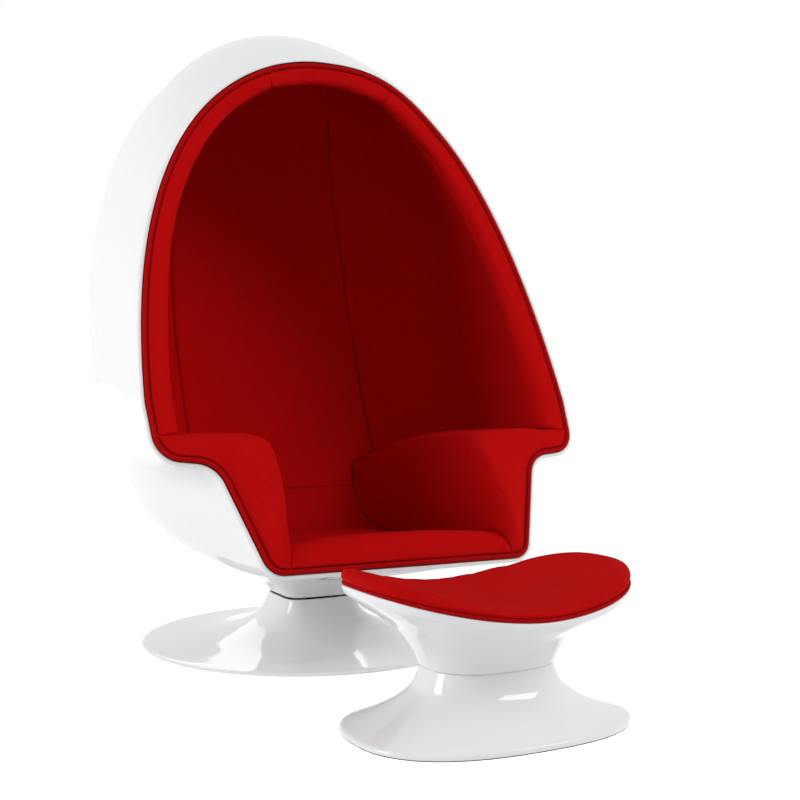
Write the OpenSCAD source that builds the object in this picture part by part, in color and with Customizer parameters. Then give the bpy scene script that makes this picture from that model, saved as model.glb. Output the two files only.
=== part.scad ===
// Egg-shaped pod chair on a swivel foot, with its saddle-topped footstool.
// Millimetres, Z up. The origin is on the floor, on the swivel axis.
// The opening of the pod faces -Y and the footstool stands in front of it.

/* [Pod shell] */
// Half of the greatest width of the shell
shell_w = 440; // [400:1:480]
// Height of the widest level of the shell
shell_mid_z = 640; // [600:1:680]
// Height of the crown above the floor
shell_top_z = 1326; // [1280:1:1400]
// Height of the belly above the floor
shell_low_z = 147; // [130:1:170]
// How far the back of the shell lies behind the swivel axis
shell_back_y = 335; // [310:1:370]
// Wall of the moulded shell, also the width of its lip
shell_t = 8; // [6:0.5:12]

/* [Opening] */
// Half of the width of the opening
rim_w = 429; // [400:1:440]
// Level about which the upper arch of the opening is drawn
rim_mid_z = 405; // [390:1:420]
// Rise of the arch over that level
rim_rise = 767; // [740:1:790]
// Height of the notch shelf under each arm
notch_z = 399; // [380:1:415]
// Half-width at the inner end of the notch shelf
notch_w = 319; // [300:1:335]
// Half-width of the lower front at the bottom corner
lip_w = 253; // [240:1:270]
// Height of the front lip
lip_z = 205; // [195:1:215]

/* [Upholstery] */
// Thickness of shell and padding together in the depth of the pod
liner_d = 38; // [32:1:46]
// Thickness of shell and padding at the front roll
roll_d = 60; // [50:1:66]
// Depth of the valley at a sewn seam
seam_dip = 6; // [2:0.5:9]
// Radius of the piped welt round the opening
welt_r = 5; // [4:0.5:6]
// Height of the arm pads at the front
arm_z = 435; // [420:1:450]
// Height of the lowest part of the seat
seat_z = 213; // [205:1:225]
// Height of the crease between seat and back
crease_z = 305; // [290:1:320]

/* [Swivel foot] */
// Radius of the round foot on the floor
foot_r = 346; // [320:1:370]
// Half of the width of the squared top of the foot
foot_top_w = 77; // [70:1:84]
// Height of the top of the foot
foot_h = 92; // [86:1:100]
// Diameter of the swivel spindle
spindle_d = 28; // [24:1:32]

/* [Footstool] */
// Half of the width of the footstool foot
stool_w = 230; // [215:1:245]
// Half of the depth of the footstool foot
stool_l = 160; // [150:1:170]
// Distance from the swivel axis to the middle of the footstool
stool_y = 705; // [690:1:760]
// Height of the waist seam
waist_z = 95; // [85:1:105]
// Height of the dish edge in the middle of the saddle
saddle_z = 184; // [175:1:195]
// Rise of the saddle at its two ends
saddle_rise = 38; // [30:1:60]

/* [Hidden] */

// Fixed proportions
n_up = 1.93;
n_low = 2.76;
lean_share = 0.344;
arch_n = 2.35;
deg_all = 360;

// Depth of the widest outline at the level shell_ref_z
shell_ref_z = 0.9375 * shell_mid_z;
shell_mid_y = shell_w * 0.107;

// Insets of the padding from the shell face
pad_gap = 0.5 * shell_t;
pad_d = shell_t + pad_gap;
welt_d = 1.05 * shell_t + welt_r;
front_d = 1.15 * shell_t + 2 * welt_r;
fit_gap = shell_t / 26;
cut = shell_t / 8;

// Seams of the padding
seam_w = 0.491 * shell_w;
seam_level = 0.906 * shell_mid_z;
seam_hi_z = 0.9047 * shell_top_z;
seam_lo_z = 0.952 * notch_z;
arm_end_w = 0.35 * shell_w;
arm_end_z = 0.89 * notch_z;
crease_w = 0.323 * shell_w;
arm_fall = 0.093 * notch_z;
fall_rows = 9;

function mix(a, b, t) = a + (b - a) * t;
function unit(v) = v / norm(v);

// Widest outline of the shell, leaning back as it rises
function mid_y(z) = shell_mid_y + lean_share * (z - shell_ref_z);
function half_w(d) = shell_w - d;
function half_h(b, d) = b >= 0 ? shell_top_z - shell_mid_z - d : shell_mid_z - shell_low_z - d;
function gauge(p) = let (n = p[1] >= 0 ? n_up : n_low) pow(pow(abs(p[0]), n) + pow(abs(p[1]), n), 1 / n);

// A point on the back of the shell, d inside its outer face
function back_pt(p, d) =
    let (g = min(1, gauge(p)))
    let (z = shell_mid_z + p[1] * half_h(p[1], d))
    let (deep = shell_back_y - d - mid_y(shell_mid_z))
    [p[0] * half_w(d), mid_y(z) + deep * sqrt(1 - g * g), z];

// Half of the outline of the opening, from the top down to the lip
arch_seam_x = 0.3217 * rim_w;
arch_end_z = rim_mid_z + 0.1164 * rim_rise;
arch_a = asin(pow(arch_seam_x / rim_w, arch_n / 2));
arch_b = acos(pow((arch_end_z - rim_mid_z) / rim_rise, arch_n / 2));
arch_steps = 4;
side_steps = 14;
turn_steps = 4;

function arch_pt(a) = [rim_w * pow(sin(a), 2 / arch_n), rim_mid_z + rim_rise * pow(cos(a), 2 / arch_n)];

function turn(a, b, c, r) =
    let (u = unit(a - b), v = unit(c - b))
    let (h = acos(u * v) / 2)
    let (o = b + unit(u + v) * r / sin(h))
    let (p = b + u * r / tan(h) - o, q = b + v * r / tan(h) - o)
    let (s = atan2(p[1], p[0]))
    let (e = atan2(q[1], q[0]) - s)
    let (w = e > 180 ? e - 360 : e < -180 ? e + 360 : e)
    [for (k = [0:turn_steps]) o + r * [cos(s + w * k / turn_steps), sin(s + w * k / turn_steps)]];

notch_a = [0.977 * rim_w, 0.995 * notch_z];
notch_b = [notch_w, 0.97 * notch_z];
lip_a = [lip_w, lip_z];
turn_1 = turn([rim_w, arch_end_z], notch_a, notch_b, 0.112 * rim_w);
turn_2 = turn(notch_a, notch_b, lip_a, 0.121 * rim_w);
turn_3 = turn(notch_b, lip_a, [0, lip_z], 0.089 * rim_w);
lip_end = 0.506 * rim_w;

half_rim = concat(
    [for (k = [0:arch_steps - 1]) arch_pt(arch_a * k / arch_steps)],
    [for (k = [0:side_steps]) arch_pt(mix(arch_a, arch_b, k / side_steps))],
    turn_1,
    turn_2,
    [for (k = [1:2]) mix(turn_2[turn_steps], turn_3[0], k / 3)],
    turn_3,
    [for (k = [0:3]) [lip_end * (1 - k / 3), lip_z]]);

half_n = len(half_rim) - 1;
full_n = 2 * half_n;
i_seam = arch_steps;
i_arm = arch_steps + side_steps + 1;
i_seat = half_n - 3;

function rim_2d(i) =
    let (k = (i + 4 * full_n) % full_n)
    k <= half_n ? half_rim[k] : let (p = half_rim[full_n - k]) [-p[0], p[1]];
function rim_in(i) = let (t = unit(rim_2d(i + 1) - rim_2d(i - 1))) [t[1], -t[0]];

// Depth of the opening at height z, leaning back and curling forward at the top
rim_ref_z = shell_ref_z;
rim_span = rim_ref_z / 0.6;
curl_z = 1.06 * rim_span;
function rim_y(z) =
    let (t = (z - rim_ref_z) / rim_span)
    let (c = max(0, z - curl_z) / (0.11 * rim_span))
    rim_span * (-0.256 + 0.4405 * t - 0.129 * t * t - 0.1824 * t * t * t - 0.0311 * c * c);

function rim_pt(i, d) = rim_2d(i) + (d - shell_t) * rim_in(i);
function wide_dir(i) =
    let (p = rim_2d(i))
    let (q = [p[0] / shell_w, (p[1] - shell_mid_z) / half_h(p[1] - shell_mid_z, 0)])
    q / gauge(q);

// A point between the opening (t = 0) and the widest outline in direction q (t = 1)
function front_at(i, q, t, d) =
    let (r = rim_pt(i, d))
    let (m = [q[0] * half_w(d), shell_mid_z + q[1] * half_h(q[1], d)])
    let (k = (1 - t) * (1 - t), y = rim_y(rim_2d(i)[1]))
    [mix(m[0], r[0], k), mix(y, mid_y(m[1]), t), mix(m[1], r[1], k)];
function front_pt(i, t, d) = front_at(i, wide_dir(i), t, d);

// Ends of the padding rows: down the seam, round the arm end, along the crease
function to_unit(x, z) = [x / half_w(liner_d), (z - shell_mid_z) / half_h(z - shell_mid_z, liner_d)];
function seam_x(z) = seam_w - pow(z - seam_level, 2) * seam_w * 0.456 / pow(rim_span, 2);
function row_end(i) =
    i <= i_arm ?
        let (z = mix(seam_hi_z, seam_lo_z, (i - i_seam) / (i_arm - i_seam))) to_unit(seam_x(z), z)
    : i < i_seat ?
        let (s = (i - i_arm) / (i_seat - i_arm))
        s < 0.45 ?
            to_unit(mix(seam_x(seam_lo_z), arm_end_w, s / 0.45), mix(seam_lo_z, arm_end_z, s / 0.45))
        :
            to_unit(mix(arm_end_w, crease_w, (s - 0.45) / 0.55), mix(arm_end_z, crease_z, (s - 0.45) / 0.55))
    :
        to_unit(crease_w * rim_2d(i)[0] / lip_end, crease_z);

// Rows near the arm line slope down towards the back
function row_fall(i) =
    arm_fall * max(0, i <= i_arm ? (i - i_seam) / (i_arm - i_seam) : 1 - (i - i_arm) / fall_rows);
function pad_dir(i) =
    let (q = wide_dir(i), f = row_fall(i))
    let (b = q[1] - f / half_h(q[1], 0), n = b >= 0 ? n_up : n_low)
    f > 0 ? [pow(1 - pow(abs(b), n), 1 / n), b] : q;

function pad_at(i, q, t, d) = t <= 1 ? front_at(i, q, t, d) : back_pt(mix(q, row_end(i), t - 1), d);
function pad_pt(i, t, d) = pad_at(i, pad_dir(i), t, d);
function under_pt(i, t, d) = pad_at(i, wide_dir(i), t, d);

// Columns of the padding, from the opening to the far edge
col_shares = [0, 0.015, 0.05, 0.12, 0.3, 0.55, 0.8, 1, 1.25, 1.5, 1.75, 2];
col_d = [front_d + 0.03 * roll_d, mix(front_d, roll_d, 0.69), mix(front_d, roll_d, 0.93), roll_d,
    mix(roll_d, liner_d, 0.4), mix(roll_d, liner_d, 0.75), liner_d, liner_d,
    liner_d, liner_d, liner_d, liner_d];
col_o = [front_d, front_d, pad_d, pad_d, pad_d, pad_d, pad_d, pad_d, pad_d, pad_d, pad_d, pad_d];
col_n = len(col_shares) - 1;

// Solid between an outer grid and an inner grid of points
module patch(outer, inner) {
    n = len(outer) - 1;
    m = len(outer[0]) - 1;
    w = m + 1;
    s = (n + 1) * w;
    pts = concat([for (r = outer) for (p = r) p], [for (r = inner) for (p = r) p]);
    faces = concat(
        [for (r = [0:n - 1]) for (c = [0:m - 1]) for (f = [
            [r * w + c, r * w + c + 1, (r + 1) * w + c + 1],
            [r * w + c, (r + 1) * w + c + 1, (r + 1) * w + c],
            [s + r * w + c, s + (r + 1) * w + c, s + (r + 1) * w + c + 1],
            [s + r * w + c, s + (r + 1) * w + c + 1, s + r * w + c + 1]]) f],
        [for (r = [0:n - 1]) for (f = [
            [r * w, (r + 1) * w, s + (r + 1) * w],
            [r * w, s + (r + 1) * w, s + r * w],
            [(r + 1) * w + m, r * w + m, s + (r + 1) * w + m],
            [r * w + m, s + r * w + m, s + (r + 1) * w + m]]) f],
        [for (c = [0:m - 1]) for (f = [
            [c + 1, c, s + c + 1],
            [c, s + c, s + c + 1],
            [n * w + c, n * w + c + 1, s + n * w + c + 1],
            [n * w + c, s + n * w + c + 1, s + n * w + c]]) f]);
    polyhedron(points = pts, faces = faces, convexity = 10);
}

// Solid skinned over a chain of rings; the ends are capped or joined
module skin(rings, loop) {
    n = len(rings);
    m = len(rings[0]);
    e = loop ? n : n - 1;
    first = [for (a = [0:2]) [for (p = rings[0]) p[a]] * [for (p = rings[0]) 1 / m]];
    last = [for (a = [0:2]) [for (p = rings[n - 1]) p[a]] * [for (p = rings[0]) 1 / m]];
    pts = concat([for (r = rings) for (p = r) p], loop ? [] : [first, last]);
    sides = [for (r = [0:e - 1]) for (k = [0:m - 1])
        let (a = r * m, b = ((r + 1) % n) * m, j = (k + 1) % m)
        for (f = [[a + k, a + j, b + j], [a + k, b + j, b + k]]) f];
    caps = loop ? [] : [for (k = [0:m - 1]) let (j = (k + 1) % m)
        for (f = [[n * m, j, k], [n * m + 1, (n - 1) * m + k, (n - 1) * m + j]]) f];
    polyhedron(points = pts, faces = concat(sides, caps), convexity = 10);
}

// Rounded-square or rounded-rectangle ring, clockwise seen from above
ring_n = 44;
function ring(a, b, n, z) = [for (k = [0:ring_n - 1])
    let (c = cos(deg_all * k / ring_n), s = -sin(deg_all * k / ring_n))
    [a * sign(c) * pow(abs(c), 2 / n), b * sign(s) * pow(abs(s), 2 / n), z]];

// Pod: moulded shell with its neck

shell_row_shares = [0, 0.07, 0.17, 0.31, 0.49, 0.72, 1];
shell_turns = [12, 24, 36, 48, 60, 71, 81];
function front_ring(t, d) = [for (i = [0:full_n - 1]) front_pt(i, t, d)];
function back_ring(a, d) = [for (i = [0:full_n - 1]) back_pt(wide_dir(i) * cos(a), d)];
function rev(v) = [for (k = [len(v) - 1:-1:0]) v[k]];

// Height of the underside of the belly
function under_step(x, y, z) =
    let (a = abs(x) / shell_w, h = shell_mid_z - shell_low_z)
    let (zm = shell_mid_z - h * pow(1 - pow(a, n_low), 1 / n_low))
    let (s = (y - mid_y(z)) / (shell_back_y - mid_y(shell_mid_z)))
    let (yf = rim_y(lip_z), t = (y - yf) / (mid_y(zm) - yf))
    s > 0 ?
        shell_mid_z - h * pow(max(0, pow(1 - min(1, s * s), n_low / 2) - pow(a, n_low)), 1 / n_low)
    :
        zm + (lip_z - shell_t - zm) * (1 - t) * (1 - t);
function under(x, y, z = shell_low_z, steps = 14) =
    steps == 0 ? z : under(x, y, mix(z, under_step(x, y, z), 0.5), steps - 1);
function under_ring(a, n) = [for (p = ring(a, a, n, 0)) [p[0], p[1], under(p[0], p[1]) + shell_t / 2]];

turn_gap = 0.041 * foot_h;
neck_z = foot_h + turn_gap;
neck_h = shell_low_z - neck_z;
neck_floor = 0.85 * shell_t;
// Neck: [reach, height, squareness, share drawn up to the belly]
neck_out_shares = [[0.96, 0, 5, 0], [1, 0.06, 5, 0], [1.06, 0.2, 4.7, 0], [1.2, 0.4, 4.3, 0.04],
    [1.4, 0.6, 3.7, 0.12], [1.62, 0.75, 3.2, 0.36], [1.86, 0.88, 2.8, 0.7]];
neck_in_shares = [[1.74, 0.88, 2.8, 0.7], [1.28, 0.6, 3.7, 0.12], [0.95, 0.2, 4.7, 0]];
function neck_ring(v) = [for (p = ring(v[0] * foot_top_w, v[0] * foot_top_w, v[2], neck_z + v[1] * neck_h))
    [p[0], p[1], mix(p[2], under(p[0], p[1]), v[3])]];

module egg_wall() {
    skin(concat(
        [for (a = rev(shell_turns)) back_ring(a, 0)],
        [for (t = rev(shell_row_shares)) front_ring(t, 0)],
        [for (t = shell_row_shares) front_ring(t, shell_t)],
        [for (a = shell_turns) back_ring(a, shell_t)]), false);
}

module neck_cup() {
    skin(concat(
        [for (v = neck_out_shares) neck_ring(v)],
        [under_ring(2.1 * foot_top_w, 2.6)],
        [under_ring(1.98 * foot_top_w, 2.6)],
        [for (v = neck_in_shares) neck_ring(v)],
        [ring(0.9 * foot_top_w, 0.9 * foot_top_w, 4.8, neck_z + neck_floor)]), false);
}

bolt_d = 0.29 * spindle_d;
bolt_at = 1.5 * spindle_d;
plate_r = 0.753 * foot_top_w;
plate_t = 0.21 * spindle_d;

module at_four(r, a) {
    for (k = [0:3]) rotate([0, 0, a + deg_all * k / 4]) translate([r, 0, 0]) children();
}

// Four round pegs or holes, from z up
module four_pegs(r, a, z, d, h) {
    at_four(r, a) translate([0, 0, z]) cylinder(d = d, h = h, $fn = 32);
}

module outer_shell() {
    color("white") difference() {
        union() {
            egg_wall();
            neck_cup();
        }
        four_pegs(bolt_at, 45, neck_z - neck_floor, 1.05 * bolt_d, 3 * neck_floor);
    }
}

// Pod: piped welt in the angle of the lip
welt_n = 6;
module edge_welt() {
    color("firebrick") skin([for (i = [0:full_n - 1])
        let (c = front_pt(i, 0, welt_d), u = rim_in(i))
        let (t = unit(front_pt(i + 1, 0, welt_d) - front_pt(i - 1, 0, welt_d)))
        let (a = [u[0], 0, u[1]], b = cross(t, a))
        [for (k = [0:welt_n - 1])
            c + welt_r * (a * cos(deg_all * k / welt_n) + b * sin(deg_all * k / welt_n))]], true);
}

// Pod: padding

function side_d(i, c) = col_d[c] - (c == 0 ? 0 : (i == i_seam || i == i_arm || c == col_n) ? seam_dip : 0);
side_rows = [for (i = [i_seam:i_arm]) i];

module side_panel() {
    n = len(side_rows) - 1;
    dz = [for (k = [0:n]) k == 0 ? [fit_gap, 0, 0] : k == n ? [0, 0, fit_gap] : [0, 0, 0]];
    dx = [for (c = [0:col_n]) c == col_n ? [fit_gap, 0, 0] : [0, 0, 0]];
    patch(
        [for (k = [0:n]) [for (c = [0:col_n]) under_pt(side_rows[k], col_shares[c], col_o[c]) + dz[k] + dx[c]]],
        [for (k = [0:n]) [for (c = [0:col_n])
            pad_pt(side_rows[k], col_shares[c], side_d(side_rows[k], c)) + dz[k] + dx[c]]]);
}

module side_panel_right() {
    color("red") side_panel();
}

module side_panel_left() {
    color("red") mirror([1, 0, 0]) side_panel();
}

// Middle panel: down from the opening over the ceiling and the back to the crease
roof_c = [0, 1, 2, 3, 4, 5, 6, 7];
roof_w = [for (k = [-i_seam:i_seam]) wide_dir(k)[0] / wide_dir(i_seam)[0]];
side_ends = concat([wide_dir(i_seam)], [for (i = [i_seam:i_seat]) row_end(i)]);
end_n = len(side_ends) - 1;
function crown_b(a) = pow(1 - pow(abs(a), n_up), 1 / n_up);
function roof_pt(q, w, k, d) =
    let (a = q[0] * k)
    let (rise = crown_b(a) - crown_b(side_ends[0][0]))
    back_pt([a, q[1] + max(0, rise) * (1 - w)], d);

function roof_edge(k) = abs(k) == i_seam;
function roof_move(k, j) = fit_gap * [roof_edge(k) ? -sign(k) : 0, 0, j == end_n ? 1 : 0];
function roof_d(k, c) = col_d[c] - (c > 0 && roof_edge(k) ? seam_dip : 0);
function down_d(k, j) = liner_d - (roof_edge(k) || j == end_n ? seam_dip : 0);

module back_panel() {
    color("red") patch(
        [for (k = [-i_seam:i_seam]) concat(
            [for (c = roof_c) pad_pt(k, col_shares[c], col_o[c]) + roof_move(k, 0)],
            [for (j = [1:end_n])
                roof_pt(side_ends[j], j / end_n, roof_w[k + i_seam], pad_d) + roof_move(k, j)])],
        [for (k = [-i_seam:i_seam]) concat(
            [for (c = roof_c) pad_pt(k, col_shares[c], roof_d(k, c)) + roof_move(k, 0)],
            [for (j = [1:end_n])
                roof_pt(side_ends[j], j / end_n, roof_w[k + i_seam], down_d(k, j)) + roof_move(k, j)])]);
}

// Arm pads: flat on top, rolled over at the inner edge, upright towards the seat
function reach(c) = col_shares[c] <= col_shares[3] ? 0 :
    col_shares[c] <= 1 ? 0.55 * (col_shares[c] - col_shares[3]) / (1 - col_shares[3])
    : 0.55 + 0.45 * (col_shares[c] - 1);
function in_unit(p) = back_pt(p, liner_d - seam_dip);
arm_edge_w = 0.478 * rim_w;
function arm_outer(c) = pad_pt(i_arm, col_shares[c], side_d(i_arm, c));
function arm_corner(c) =
    let (f = reach(c), e = in_unit(to_unit(arm_end_w, arm_end_z)))
    let (s = [arm_edge_w, rim_y(arm_z) + 0.08 * rim_w, arm_z])
    [mix(s[0], e[0], pow(f, 2.2)), mix(s[1], e[1], f), mix(s[2], e[2], pow(f, 3))];
function seat_at(y) =
    let (back_y = in_unit(to_unit(crease_w, crease_z))[1])
    y > 0 ? mix(seat_z, crease_z, pow(y / back_y, 2)) : seat_z * (1 + 1.064 * pow(y / rim_span, 2));
function seat_side(c) =
    let (f = reach(c), e = in_unit(to_unit(crease_w, crease_z)), s = pad_pt(i_seat, 0, col_d[0]))
    let (a = [0.975 * s[0], s[1] + 0.105 * rim_w])
    let (x = mix(a[0], e[0], pow(f, 2)), y = mix(a[1], e[1], f))
    c == 0 ? s :
    c == 1 ? [0.994 * s[0], s[1] + 0.022 * rim_w, mix(s[2], seat_at(a[1]), 0.62)] :
    c == 2 ? [0.985 * s[0], s[1] + 0.06 * rim_w, mix(s[2], seat_at(a[1]), 0.92)] :
    [x, y, seat_at(y)];

arm_top_share = 0.33;
arm_edge_share = 0.61;
function arm_section(c, s) =
    let (a = arm_outer(c), e = arm_corner(c), b = seat_side(c))
    let (p = mix(a, e, 0.8), q = mix(e, b, 0.16), u = (s - arm_top_share) / (arm_edge_share - arm_top_share))
    s <= arm_top_share ? mix(a, p, s / arm_top_share) :
    s < arm_edge_share ? p * (1 - u) * (1 - u) + e * 2 * u * (1 - u) + q * u * u :
    mix(q, b, (s - arm_edge_share) / (1 - arm_edge_share));
front_reach_shares = [0, 0.5, 0.88, 1];
front_back_shares = [0, 0.07, 0.42, 1];
function arm_in(i, c) =
    let (s = (i - i_arm) / (i_seat - i_arm))
    let (p = pad_pt(i, 0, col_d[0]), q = arm_section(3, s))
    c == col_n ? in_unit(row_end(i)) :
    c > 3 ? arm_section(c, s) :
    let (y = mix(p[1], q[1], front_back_shares[c]))
    i == i_arm ? arm_outer(c) :
    i == i_seat ? seat_side(c) :
    [mix(p[0], q[0], front_reach_shares[c]), y, mix(p[2], q[2], front_reach_shares[c])];

module arm_pad() {
    n = i_seat - i_arm;
    move = [for (k = [0:n]) k == 0 ? [0, 0, -fit_gap] : k == n ? [fit_gap, 0, 0] : [0, 0, 0]];
    patch(
        [for (k = [0:n]) [for (c = [0:col_n])
            under_pt(i_arm + k, col_shares[c], col_o[c]) + move[k] - [0, c == col_n ? fit_gap : 0, 0]]],
        [for (k = [0:n]) [for (c = [0:col_n])
            arm_in(i_arm + k, c) + move[k] - [0, c == col_n ? fit_gap : 0, 0]]]);
}

module arm_pad_right() {
    color("red") arm_pad();
}

module arm_pad_left() {
    color("red") mirror([1, 0, 0]) arm_pad();
}

// Seat cushion
seat_crown = 0.9 * shell_t;
function seat_top(i, c) =
    let (k = rim_2d(i)[0] / lip_end, b = seat_side(c), r = pad_pt(i, 0, col_d[0]))
    let (up = c == 0 || c == col_n ? 0 : seat_crown * (1 - pow(abs(k), 4)))
    c == 0 ? r :
    c == col_n ? in_unit(row_end(i)) :
    [b[0] * k, b[1] + (r[1] - pad_pt(i_seat, 0, col_d[0])[1]) * (1 - reach(c)), b[2] + up];

function seat_move(k, n, c) =
    fit_gap * [k == 0 ? 2 : k == n ? -2 : 0, c == col_n ? 1 : 0, k == 0 || k == n ? 1 : 0];

module seat_cushion() {
    n = 2 * (half_n - i_seat);
    color("red") patch(
        [for (k = [0:n]) [for (c = [0:col_n]) pad_pt(i_seat + k, col_shares[c], col_o[c])
            - seat_move(k, n, c)]],
        [for (k = [0:n]) [for (c = [0:col_n]) seat_top(i_seat + k, c) - seat_move(k, n, c)]]);
}

// Pod: swivel parts that turn with it

block_h = 0.7 * neck_h;
block_z = neck_z + neck_floor;
insert_h = 0.6 * block_h;
insert_d = 1.5 * bolt_d;
head_h = 0.65 * bolt_d;

module neck_block() {
    color("burlywood") difference() {
        translate([0, 0, block_z]) cylinder(r = 0.86 * foot_top_w, h = block_h, $fn = 96);
        four_pegs(bolt_at, 45, block_z - cut, 1.05 * bolt_d, block_h + 2 * cut);
        four_pegs(bolt_at, 45, block_z + block_h - insert_h, insert_d, insert_h + cut);
    }
}

module threaded_inserts() {
    color("silver") at_four(bolt_at, 45) translate([0, 0, block_z + block_h - insert_h]) difference() {
        cylinder(d = insert_d, h = insert_h, $fn = 32);
        translate([0, 0, -cut]) cylinder(d = 1.02 * bolt_d, h = insert_h + 2 * cut, $fn = 32);
    }
}

module swivel_plate() {
    color("dimgray") difference() {
        translate([0, 0, neck_z - plate_t]) cylinder(r = plate_r, h = plate_t, $fn = 96);
        four_pegs(bolt_at, 45, neck_z - plate_t - cut, 1.05 * bolt_d, plate_t + 2 * cut);
    }
}

module swivel_bolts() {
    color("silver") at_four(bolt_at, 45) {
        translate([0, 0, neck_z - plate_t - head_h]) cylinder(d = 1.7 * bolt_d, h = head_h, $fn = 6);
        translate([0, 0, neck_z - plate_t])
            cylinder(d = bolt_d, h = plate_t + neck_floor + 0.97 * block_h, $fn = 32);
    }
}

spindle_top = neck_z - plate_t;
spindle_low = 0.13 * foot_h;
clip_z = spindle_low + 0.04 * foot_h;
clip_t = 0.09 * spindle_d;
hub_lip = clip_z + 1.1 * clip_t;

module spindle() {
    color("silver") rotate_extrude($fn = 96) polygon([
        [0, spindle_low], [0.46 * spindle_d, spindle_low], [spindle_d / 2, spindle_low + 0.04 * spindle_d],
        [spindle_d / 2, clip_z], [0.43 * spindle_d, clip_z], [0.43 * spindle_d, clip_z + clip_t],
        [spindle_d / 2, clip_z + clip_t], [spindle_d / 2, spindle_top], [0, spindle_top]]);
}

module retaining_clip() {
    color("dimgray") rotate_extrude($fn = 96) polygon([
        [0.43 * spindle_d, clip_z], [0.66 * spindle_d, clip_z],
        [0.66 * spindle_d, clip_z + clip_t], [0.43 * spindle_d, clip_z + clip_t]]);
}

// Foot: fixed swivel parts

pad_h = 0.03 * foot_h;
slab_t = 0.062 * foot_h;
slab_z = pad_h;
slab_r = 0.65 * foot_r;
hub_z = slab_z + slab_t;
hub_flange_t = 0.062 * foot_h;
hub_flange_r = 2.5 * spindle_d;
hub_r = 0.93 * spindle_d;
hub_bore = 0.75 * spindle_d;
race_h = 0.17 * spindle_d;
hub_top = spindle_top - race_h;
shelf_z = 0.866 * foot_h;
shelf_t = 0.041 * foot_h;
shelf_r = 0.7 * foot_top_w;
hub_bolt_at = 1.96 * spindle_d;
shelf_screw_at = 2.25 * spindle_d;
shelf_screw_d = 0.18 * spindle_d;
play = spindle_d / 350;

module base_slab() {
    color("dimgray") difference() {
        translate([0, 0, slab_z]) cylinder(r = slab_r, h = slab_t, $fn = 128);
        four_pegs(hub_bolt_at, 0, slab_z - cut, 1.05 * bolt_d, slab_t + 2 * cut);
        at_four(hub_bolt_at, 0) translate([0, 0, slab_z])
            cylinder(d1 = 2 * bolt_d, d2 = 1.04 * bolt_d, h = 0.5 * bolt_d, $fn = 32);
    }
}

module swivel_hub() {
    f = shelf_z - shelf_t - 0.055 * foot_h;
    color("gray") difference() {
        rotate_extrude($fn = 96) polygon([
            [hub_bore, hub_z], [hub_flange_r, hub_z], [hub_flange_r, hub_z + hub_flange_t],
            [hub_r, hub_z + hub_flange_t], [hub_r, f], [0.93 * foot_top_w, f],
            [0.93 * foot_top_w, shelf_z - shelf_t], [hub_r, shelf_z - shelf_t], [hub_r, hub_top],
            [0.58 * spindle_d, hub_top], [0.58 * spindle_d, hub_lip], [hub_bore, hub_lip]]);
        four_pegs(hub_bolt_at, 0, hub_z - cut, 1.05 * bolt_d, hub_flange_t + 2 * cut);
        four_pegs(shelf_screw_at, 45, f - cut, 1.05 * shelf_screw_d, 0.2 * foot_h);
    }
}

module spindle_bush() {
    color("peru") rotate_extrude($fn = 96) polygon([
        [spindle_d / 2 + play, hub_lip], [0.58 * spindle_d, hub_lip],
        [0.58 * spindle_d, hub_top], [spindle_d / 2 + play, hub_top]]);
}

module thrust_race() {
    color("lightgray") rotate_extrude($fn = 96) polygon([
        [spindle_d / 2 + play, hub_top], [0.86 * spindle_d, hub_top],
        [0.86 * spindle_d, spindle_top - 3 * play], [spindle_d / 2 + play, spindle_top - 3 * play]]);
}

module hub_bolts() {
    color("silver") at_four(hub_bolt_at, 0) {
        translate([0, 0, slab_z]) cylinder(d1 = 1.96 * bolt_d, d2 = bolt_d, h = 0.5 * bolt_d, $fn = 32);
        translate([0, 0, slab_z]) cylinder(d = bolt_d, h = slab_t + hub_flange_t + 1.25 * bolt_d, $fn = 32);
    }
}

module hub_nuts() {
    color("silver") at_four(hub_bolt_at, 0) translate([0, 0, hub_z + hub_flange_t]) difference() {
        cylinder(d = 1.8 * bolt_d, h = 0.8 * bolt_d, $fn = 6);
        translate([0, 0, -cut]) cylinder(d = 1.02 * bolt_d, h = bolt_d + 2 * cut, $fn = 32);
    }
}

module shelf_screws() {
    z = shelf_z - shelf_t - 0.055 * foot_h;
    color("silver") at_four(shelf_screw_at, 45) {
        translate([0, 0, shelf_z]) cylinder(d = 1.9 * shelf_screw_d, h = 0.6 * shelf_screw_d, $fn = 32);
        translate([0, 0, z]) cylinder(d = shelf_screw_d, h = shelf_z - z + 0.1 * shelf_screw_d, $fn = 32);
    }
}

module floor_pad() {
    color("black") cylinder(r = 0.94 * slab_r, h = pad_h, $fn = 128);
}

// Trumpet foot: [reach, height, squareness]
foot_out_shares = [[1, 0.016, 2], [1, 0.042, 2], [0.976, 0.067, 2], [0.85, 0.106, 2], [0.65, 0.18, 2],
    [0.49, 0.295, 2.1], [0.372, 0.45, 2.3], [0.29, 0.64, 2.9], [0.249, 0.825, 3.8], [0.2225, 1, 5]];
foot_in_shares = [[0.211, 1, 5], [0.211, 0.866, 4.8]];
foot_under_shares = [[0.226, 0.825, 4.4], [0.236, 0.8, 3.8], [0.276, 0.62, 2.9], [0.358, 0.402, 2.3],
    [0.478, 0.243, 2.1], [0.64, 0.128, 2], [0.848, 0.056, 2], [0.985, 0.016, 2]];
function foot_ring(p) = ring(p[0] * foot_r, p[0] * foot_r, p[2], p[1] * foot_h);

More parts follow.
